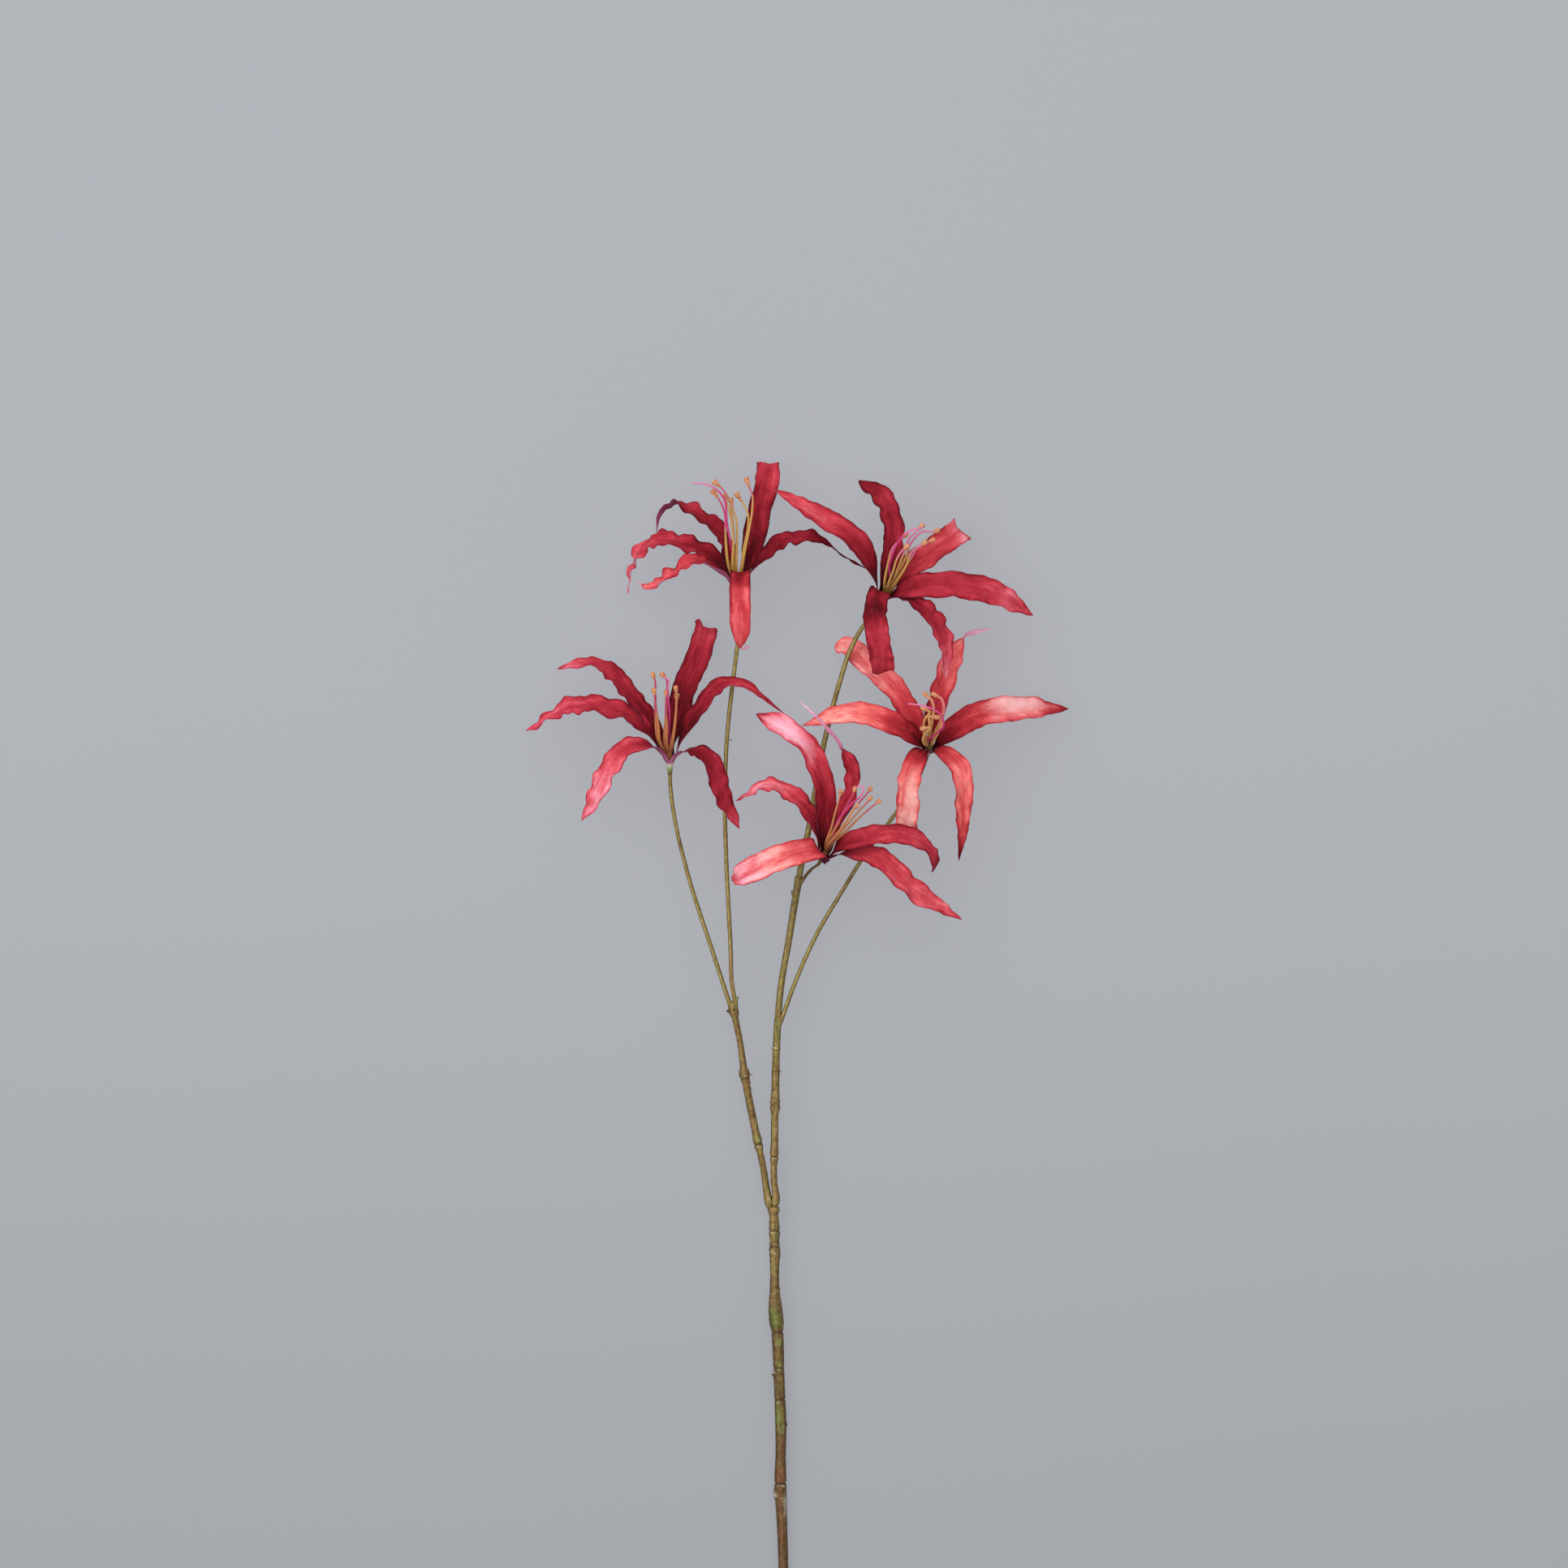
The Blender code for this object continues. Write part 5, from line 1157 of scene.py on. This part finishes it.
            dict(width=13.0, face=(0.1, 0.4, 0.9), narrows=0.96, wave=0.6,
                 lilac=((0.0, 0.0), (0.3, 0.1), (1.0, 0.6)),
                 points=((8.5, 6.0, 12.0), (32.5, 13.0, 16.0), (56.0, 11.0, 10.0), (68.5, -1.5, 1.0),
                         (68.0, -9.0, -6.0)),
                 hem=((0.7, 1.0), (0.84, 0.66), (0.93, 0.85), (1.0, 0.9)),
                 tone=((0.0, 0.04), (0.25, 0.44), (0.5, 0.58), (0.75, 0.54), (1.0, 0.4)), warm=0.1),
            dict(width=9.5, face=(-0.3, 0.0, 0.9), narrows=0.6, wave=((0.0, 0.8), (0.5, 0.9), (0.66, 0.2)),
                 points=((6.5, 19.0, 7.0), (17.0, 42.0, 10.0), (17.0, 54.0, 12.0), (9.5, 69.0, 13.0),
                         (-14.5, 95.0, 8.0)),
                 hem=((0.56, 1.0), (0.64, 0.42), (0.72, 0.26), (0.9, 0.24), (1.0, 0.3)),
                 roll=((0.58, 0.0), (0.68, 150.0), (0.8, 210.0)),
                 lilac=((0.0, 0.2), (0.6, 0.3), (0.8, 0.6), (1.0, 0.9)),
                 tone=((0.0, 0.03), (0.3, 0.4), (0.55, 0.46), (1.0, 0.9)), warm=0.1),
            dict(width=14.5, face=(0.4, 0.1, 0.9), narrows=0.84, wave=0.5,
                 points=((0.5, 13.0, 7.0), (0.5, 41.5, 9.0), (-10.0, 67.5, 6.0), (-28.0, 81.5, 3.5),
                         (-41.5, 87.0, 1.0)),
                 tone=((0.0, 0.0), (0.2, 0.18), (0.45, 0.42), (0.6, 0.62), (0.75, 0.8), (0.93, 0.86),
                       (1.0, 0.4)),
                 warm=0.1, blush=((1.0, 0.79, 0.2, 0.15, 0.8),)),
            dict(width=12.0, face=(0.2, 0.6, 0.75), narrows=0.55, wave=0.8,
                 points=((-3.0, 15.0, 8.0), (-15.0, 34.5, 10.0), (-33.0, 44.0, 7.0), (-54.0, 33.5, -2.0)),
                 tone=((0.0, 0.0), (0.2, 0.22), (0.45, 0.46), (0.65, 0.72), (1.0, 0.84)), warm=0.2,
                 blush=((0.5, 0.75, 0.15, 0.0, 0.7),)),
        ),
        threadLook=((120, 76, 44), (196, 124, 78), (190, 58, 104)), anther=(3.1, 3.8, "round"),
        thread=(0.92, 0.72, 0.48),
        stamens=(
            dict(tip=(10.5, 41.0, 28.0), neck=(9.8, 37.0, 28.0), pink=(0.75, 0.5),
                 route=((7.5, 29.0), (4.5, 17.0), (1.5, 8.5))),
            dict(tip=(19.5, 42.5, 30.0), neck=(18.0, 39.0, 30.0), pink=(0.6, 0.9),
                 route=((13.5, 30.0), (7.0, 17.0), (2.0, 8.0))),
            dict(tip=(29.5, 42.5, 26.0), neck=(27.0, 39.0, 26.5), pink=(0.68, 0.9),
                 route=((21.0, 32.0), (11.5, 18.0), (3.0, 7.5))),
            dict(tip=(29.0, 36.5, 30.0), neck=(26.8, 33.5, 30.0), pink=(0.78, 0.8),
                 route=((20.5, 26.5), (12.0, 16.5), (4.0, 7.0))),
            dict(tip=(35.0, 34.5, 26.0), neck=(31.8, 32.0, 27.0), pink=(0.68, 0.7),
                 route=((24.5, 26.0), (13.0, 14.5), (4.5, 6.5))),
            dict(tip=(21.5, 32.5, 33.0), neck=(19.0, 29.0, 32.0), pink=(0.88, 0.3),
                 route=((14.5, 22.5), (9.0, 14.5), (3.0, 7.0))),
        ),
        style=((9.0, 22.0, 24.0), (17.0, 32.0, 32.0), (23.0, 37.5, 36.0), (24.3, 41.0, 37.0),
               (21.5, 43.2, 37.0), (19.5, 41.5, 37.0)),
    ),
)


def tepalWidth(at, width, claw, narrows, opens):
    # a claw that widens to the blade, widest past the middle, and a power curve in to the tip
    rise = smoothStep(at, 0.02, opens)
    swell = 0.85 + 0.15 * smoothStep(at, 0.0, 0.55)
    tip = 1.0 - (np.clip(at - narrows, 0.0, 1.0) / (1.005 - narrows)) ** 2.3
    slim = claw / width
    return (claw + (width - claw) * rise) * (slim + (1.0 - slim) * swell) * tip


def tepalRoute(bloom, index):
    # stations down the midrib, with the way across and the way the inner face looks
    look = bloom["tepals"][index]
    heart = np.asarray(bloom["heart"])
    axis = unit(bloom["axis"])
    front = unit(np.array((0.0, 0.0, 1.0)) - axis[2] * axis)
    angle = math.radians(bloom["phase"] + 60.0 * index)
    radial = front * math.cos(angle) + np.cross(axis, front) * math.sin(angle)
    low = heart + radial * bloomShape["rootRing"] - axis * bloomShape["hubHeight"] / 2
    high = heart + radial * bloomShape["clawRing"] + axis * bloomShape["clawRise"]
    route = [low, high, *(heart + np.asarray(look["points"]))]
    curve, along = curveThrough(route)
    tangents, sides = carriedSides(curve, np.cross(axis, radial))
    at = along / along[-1]
    middle = np.searchsorted(at, 0.5)
    wanted = np.asarray(look["face"], float)
    wanted = unit(wanted - wanted.dot(tangents[middle]) * tangents[middle])
    carried = np.cross(tangents[middle], sides[middle])
    turn = math.atan2(-wanted.dot(sides[middle]), wanted.dot(carried))
    turns = turn * smoothStep(at, 0.04, look.get("turnBy", bloomShape["turnBy"]))
    turns = turns + np.radians(look.get("turn", 0.0)) * smoothStep(at, *bloomShape["furtherTurn"])
    turns = (turns + np.radians(alongStops(look.get("roll", 0.0), at)))[:, None]
    normals = np.cross(tangents, sides)
    sides = sides * np.cos(turns) + normals * np.sin(turns)
    stations = np.linspace(0.0, 1.0, bloomShape["rows"] + 1)
    centre = readAt(curve, at, stations)
    side = unit(readAt(sides, at, stations))
    tangent = unit(readAt(tangents, at, stations))
    return stations, centre, tangent, side, np.cross(tangent, side), along[-1]


def hemLines(look, at, half, index, seed):
    # for the right and the left of a blade: how far its edge reaches, with bites out of it, and how
    # high it waves: a sine whose beat and height wander, with a flutter on it
    shape = bloomShape
    ruffled = smoothStep(at, *shape["ruffled"]) * np.clip(half / 5.0, 0.05, 1.0)
    edges = []
    ruffles = []
    for way, name in enumerate(("right", "left")):
        draw = seed * 10 + way * 5
        beat = tau * shape["waves"] * at + way * shape["waveShift"] + (index, 2.3 * index)[way]
        wave = np.sin(beat + 1.7 * wobble(at, 1.6, draw)) * (0.85 + 0.4 * wobble(at, 2.2, draw + 1))
        wave = wave + 0.28 * wobble(at, 12.0, draw + 2)
        ruffles.append(shape["waveHeight"] * alongStops(look.get("wave", 1.0), at) * ruffled * wave)
        bite = 0.0
        for step, (deep, waves) in enumerate(shape["scallops"], 3):
            bite = bite + deep * wobble(at, waves, draw + step)
        width = half * alongStops(look.get(name, look.get("hem", 1.0)), at)
        edges.append(width + bite * ruffled * look.get("scallop", 1.0))
    return edges, ruffles, ruffled


def twoFaces(sheet, thickness):
    # the cloth has two faces, half its thickness each way along the sheet's own normal
    down, over = np.gradient(sheet, axis=(0, 1))
    facing = unit(np.cross(down, over))
    rows, columns = sheet.shape[:2]
    cells = gridCells(rows, columns)
    count = rows * columns
    numbers = np.arange(count).reshape(rows, columns)
    loop = np.concatenate([numbers[0, :-1], numbers[:-1, -1], numbers[-1, :0:-1], numbers[:0:-1, 0]])
    after = np.roll(loop, -1)
    rimCells = np.stack([after + count, loop + count, loop, after], axis=1)
    points = np.concatenate([(sheet + way * facing * thickness / 2).reshape(-1, 3) for way in (1, -1)])
    return points, [cells[:, ::-1], cells + count, rimCells]


def tepal(bloom, index, seed):
    # point = midrib + across * side + height * normal. across = v * the edge's reach; height = a
    # channel sunk along the midrib, ruffles that grow with |v|, fine pleats and puckers.
    # Where a blade folds over, slide moves its corners along the midrib, so the end isn't straight.
    look = bloom["tepals"][index]
    shape = bloomShape
    at, centre, tangent, side, normal, length = tepalRoute(bloom, index)
    v = np.linspace(-1.0, 1.0, shape["columns"] + 1)
    v = (np.sign(v) * abs(v) ** 0.9)[None, :]
    claw = look.get("claw", shape["rootWidth"])
    half = tepalWidth(at, look["width"], claw, look["narrows"], look.get("opens", shape["opens"])) / 2
    edges, ruffles, ruffled = hemLines(look, at, half, index, seed)
    reach = np.where(v < 0, edges[0][:, None], edges[1][:, None])
    across = v * reach
    sunk = smoothStep(at, *shape["channelled"])
    depth = shape["channel"] * look.get("depth", 1.0) * sunk * (1.0 - 0.65 * at)
    depth = depth * np.clip(half / 5.0, 0.2, 1.0) + 0.55 * (1.0 - smoothStep(at, 0.02, 0.12))
    trough = -depth[:, None] * (1.0 - abs(v) ** 1.5)
    ruffle = np.where(v < 0, ruffles[0][:, None], ruffles[1][:, None])
    ruffle = ruffle * smoothStep(abs(v), 0.05, 1.1) * 1.08
    pleat = 0.0
    for step, (high, beat, wander, waves) in enumerate(shape["pleats"], 7):
        pleat = pleat + np.cos(v * beat + wander * wobble(at, waves, seed + step)[:, None]) * high
    pucker = 0.2 * wobble(at, 7.0, seed + 9)[:, None] * np.sin(2.5 * v + seed)
    pucker = pucker + 0.03 * wobble(at, 23.0, seed + 10)[:, None]
    height = trough + ruffle + (pleat + pucker) * ruffled[:, None]
    slide = smoothStep(at, *shape["slides"])[:, None] * alongStops(look.get("slide", 0.0), v[0])[None, :]
    sheet = centre[:, None] + across[:, :, None] * side[:, None] + height[:, :, None] * normal[:, None]
    sheet = sheet + slide[:, :, None] * tangent[int(shape["slides"][0] * shape["rows"])]
    points, faces = twoFaces(sheet, shape["thickness"])

    pale = np.zeros_like(across)
    for strength, middle, spreadAlong, sideOf, spreadAcross in look.get("blush", ()):
        pale = pale + strength * bell(at, middle, spreadAlong)[:, None] * bell(v, sideOf, spreadAcross)
    spots = np.broadcast_arrays(across * 0.1, at[:, None] * length * 0.1, seed * 0.37)
    both = {
        "cloth": np.stack(spots, axis=-1),
        # tone pulled down near the root: the print's dark throat, and painted shade deep in the throat
        "tone": (alongStops(look["tone"], at) - 0.25 * bell(at, 0.0, 0.17))[:, None],
        "warm": alongStops(look["warm"], at)[:, None],
        "pale": pale,
        "lilac": alongStops(look.get("lilac", shape["lilac"]), at)[:, None],
        "rim": np.minimum((1.0 - abs(v)) * reach, (1.0 - at)[:, None] * length * 0.7),
        "middle": abs(across),
        # where painted shade lies along the midrib crease
        "crease": (smoothStep(at, 0.1, 0.3) * (1.0 - 0.5 * at))[:, None],
        # the sheet's height, from which the cloth paints shade in its hollows
        "relief": height + trough * 0.3,
    }
    values = {}
    for key, value in both.items():
        value = np.broadcast_to(value, (*across.shape, *value.shape[2:]))
        value = value.reshape(across.size, *value.shape[2:])
        values[key] = np.concatenate([value, value])
    values["under"] = np.repeat((0.0, 1.0), across.size)
    return dict(points=points, faces=faces, values=values)


def turned(bloom, outline, sides, flutes):
    # a round body on the bloom's axis from (height above the heart, radius) pairs, with six flutes
    heart = np.asarray(bloom["heart"])
    axis = unit(bloom["axis"])
    heights, radii = np.array(outline, float).T
    steps = np.linspace(heights[0], heights[-1], 40)
    radius = np.interp(steps, heights, radii)
    side = np.tile(unit(np.cross(axis, (1.0, 0.0, 0.0))), (len(steps), 1))
    angle = np.arange(sides) * tau / sides
    around = radius[:, None] * (1.0 + flutes * np.cos(angle * 6 + 0.4)[None, :])
    rise = (steps - steps[0]) / (steps[-1] - steps[0])
    values = dict(grain=roundSpots(angle, steps, 0.3, 0.0), rise=rise)
    return closedTube(heart + steps[:, None] * axis, side, np.cross(axis, side), around, values)


def threadTube(points, radii, sides=12, squeeze=1.0, lumps=0.0, seed=0, step=0.5, pink=(0.0, 0.0)):
    # a round thread along a curve; squeeze flattens it towards the viewer, lumps roughen it, and
    # pink is the part of its length where that tint starts, and how strong it gets
    centre, side, other, distance = stemFrame(points, step)
    at = distance / distance[-1]
    angle = np.arange(sides) * tau / sides
    radius = alongStops(radii, at)
    radius[0] *= 0.6
    radius[-1] *= 0.5
    rough = lumps * np.sin(distance[:, None] * 2.6 + 3.0 * np.cos(angle * 2 + seed)[None, :] + seed)
    rough = rough + lumps * np.cos(distance[:, None] * 4.7 + angle[None, :] * 3 + 2.0 * seed)
    flat = 1.0 - (1.0 - squeeze) * abs(np.cos(angle))[None, :]
    around = radius[:, None] * flat + rough * smoothStep(at, 0.0, 0.2)[:, None]
    tinted = pink[1] * smoothStep(at, pink[0], pink[0] + 0.22)
    values = dict(grain=roundSpots(angle, distance, 0.12, seed), rise=at, pink=tinted)
    return closedTube(centre, side, other, around, values)


def filamentRoute(foot, neck, seen):
    # the route seen from above, with heights that rise from the plug to the neck as a sine does
    first = foot[:2] + (seen[0][0] - foot[0]) * np.array((0.35, 0.0))
    path = [first, *seen, neck[:2]]
    legs = np.append(0.0, np.cumsum(np.linalg.norm(np.diff(path, axis=0), axis=1)))
    share = legs / legs[-1]
    heights = foot[2] + (neck[2] - foot[2]) * np.sin(share * math.pi / 2) ** 0.85
    return [np.append(spot, high) for spot, high in zip(path, heights)]


def stamenParts(bloom, number):
    # six threads from the plug, each with a grainy anther at its end
    heart = np.asarray(bloom["heart"])
    foot = heart + unit(bloom["axis"]) * bloomShape["plugTop"]
    wide, middle, narrow = bloom["thread"]
    radii = ((0.0, wide), (0.15, wide), (0.55, middle), (1.0, narrow))
    across, length, form = bloom["anther"]
    half = across / 2
    outline = [(at, half * share) for at, share in antherOutlines[form]]
    threads = []
    anthers = []
    for seed, look in enumerate(bloom["stamens"], number * 10):
        neck = heart + np.asarray(look["neck"])
        tip = heart + np.asarray(look["tip"])
        reach = unit(tip - neck)
        seen = [heart[:2] + spot for spot in np.asarray(look["route"])][::-1]
        route = [*filamentRoute(foot, neck, seen), neck + reach * 1.2]
        threads.append(threadTube(route, radii, squeeze=0.85, seed=seed, pink=look["pink"]))
        out = neck + reach * length
        bend = (neck + out) / 2 + np.array((0.0, 0.0, 0.3))
        anthers.append(threadTube([neck, bend, out], outline, 16, 0.9, 0.09, seed, 0.3))
    return threads, anthers


def makeBlooms():
    cloth = petalCloth()
    pollen = antherGrain()
    stylePaint = threadPaint("style wax", *bloomShape["styleTints"])
    skin = receptacleSkin()
    low = -bloomShape["hubHeight"] / 2
    for number, bloom in enumerate(blooms, 1):
        parts = [tepal(bloom, index, number * 10 + index) for index in range(len(bloom["tepals"]))]
        addPiece(f"petals_{number}", parts, cloth, f"tepals_{number}")
        outline = [(low + at, radius * bloom.get("cup", 1.0)) for at, radius in bloomShape["cup"]]
        cup = turned(bloom, outline, 30, 0.03)
        cup["values"]["rise"] = cup["values"]["rise"] * bloom.get("green", 1.0)
        addPiece(f"cup_{number}", [cup], skin, f"receptacle_{number}")
        paint = threadPaint(f"thread paint {number}", *bloom["threadLook"])
        threads, anthers = stamenParts(bloom, number)
        plug = turned(bloom, bloomShape["plug"], 20, 0.06)
        plug["values"]["rise"] = plug["values"]["rise"] * 0.1
        plug["values"]["pink"] = np.zeros_like(plug["values"]["rise"])
        addPiece(f"threads_{number}", [plug, *threads], paint, f"stamens_{number}")
        addPiece(f"anthers_{number}", anthers, pollen, f"stamens_{number}")
        heart = np.asarray(bloom["heart"])
        axis = unit(bloom["axis"])
        points = [heart + axis * 4.0, heart + axis * 9.0, *(heart + np.asarray(bloom["style"]))]
        pistil = threadTube(points, bloomShape["style"], pink=(0.7, 0.9))
        addPiece(f"pistil_{number}", [pistil], stylePaint, f"style_{number}")
        print("bloom", number, "made")


setStage()
makeStems(barkSkin("bark skin"))
makePedicels(barkSkin("stalk skin"))
makeBlooms()
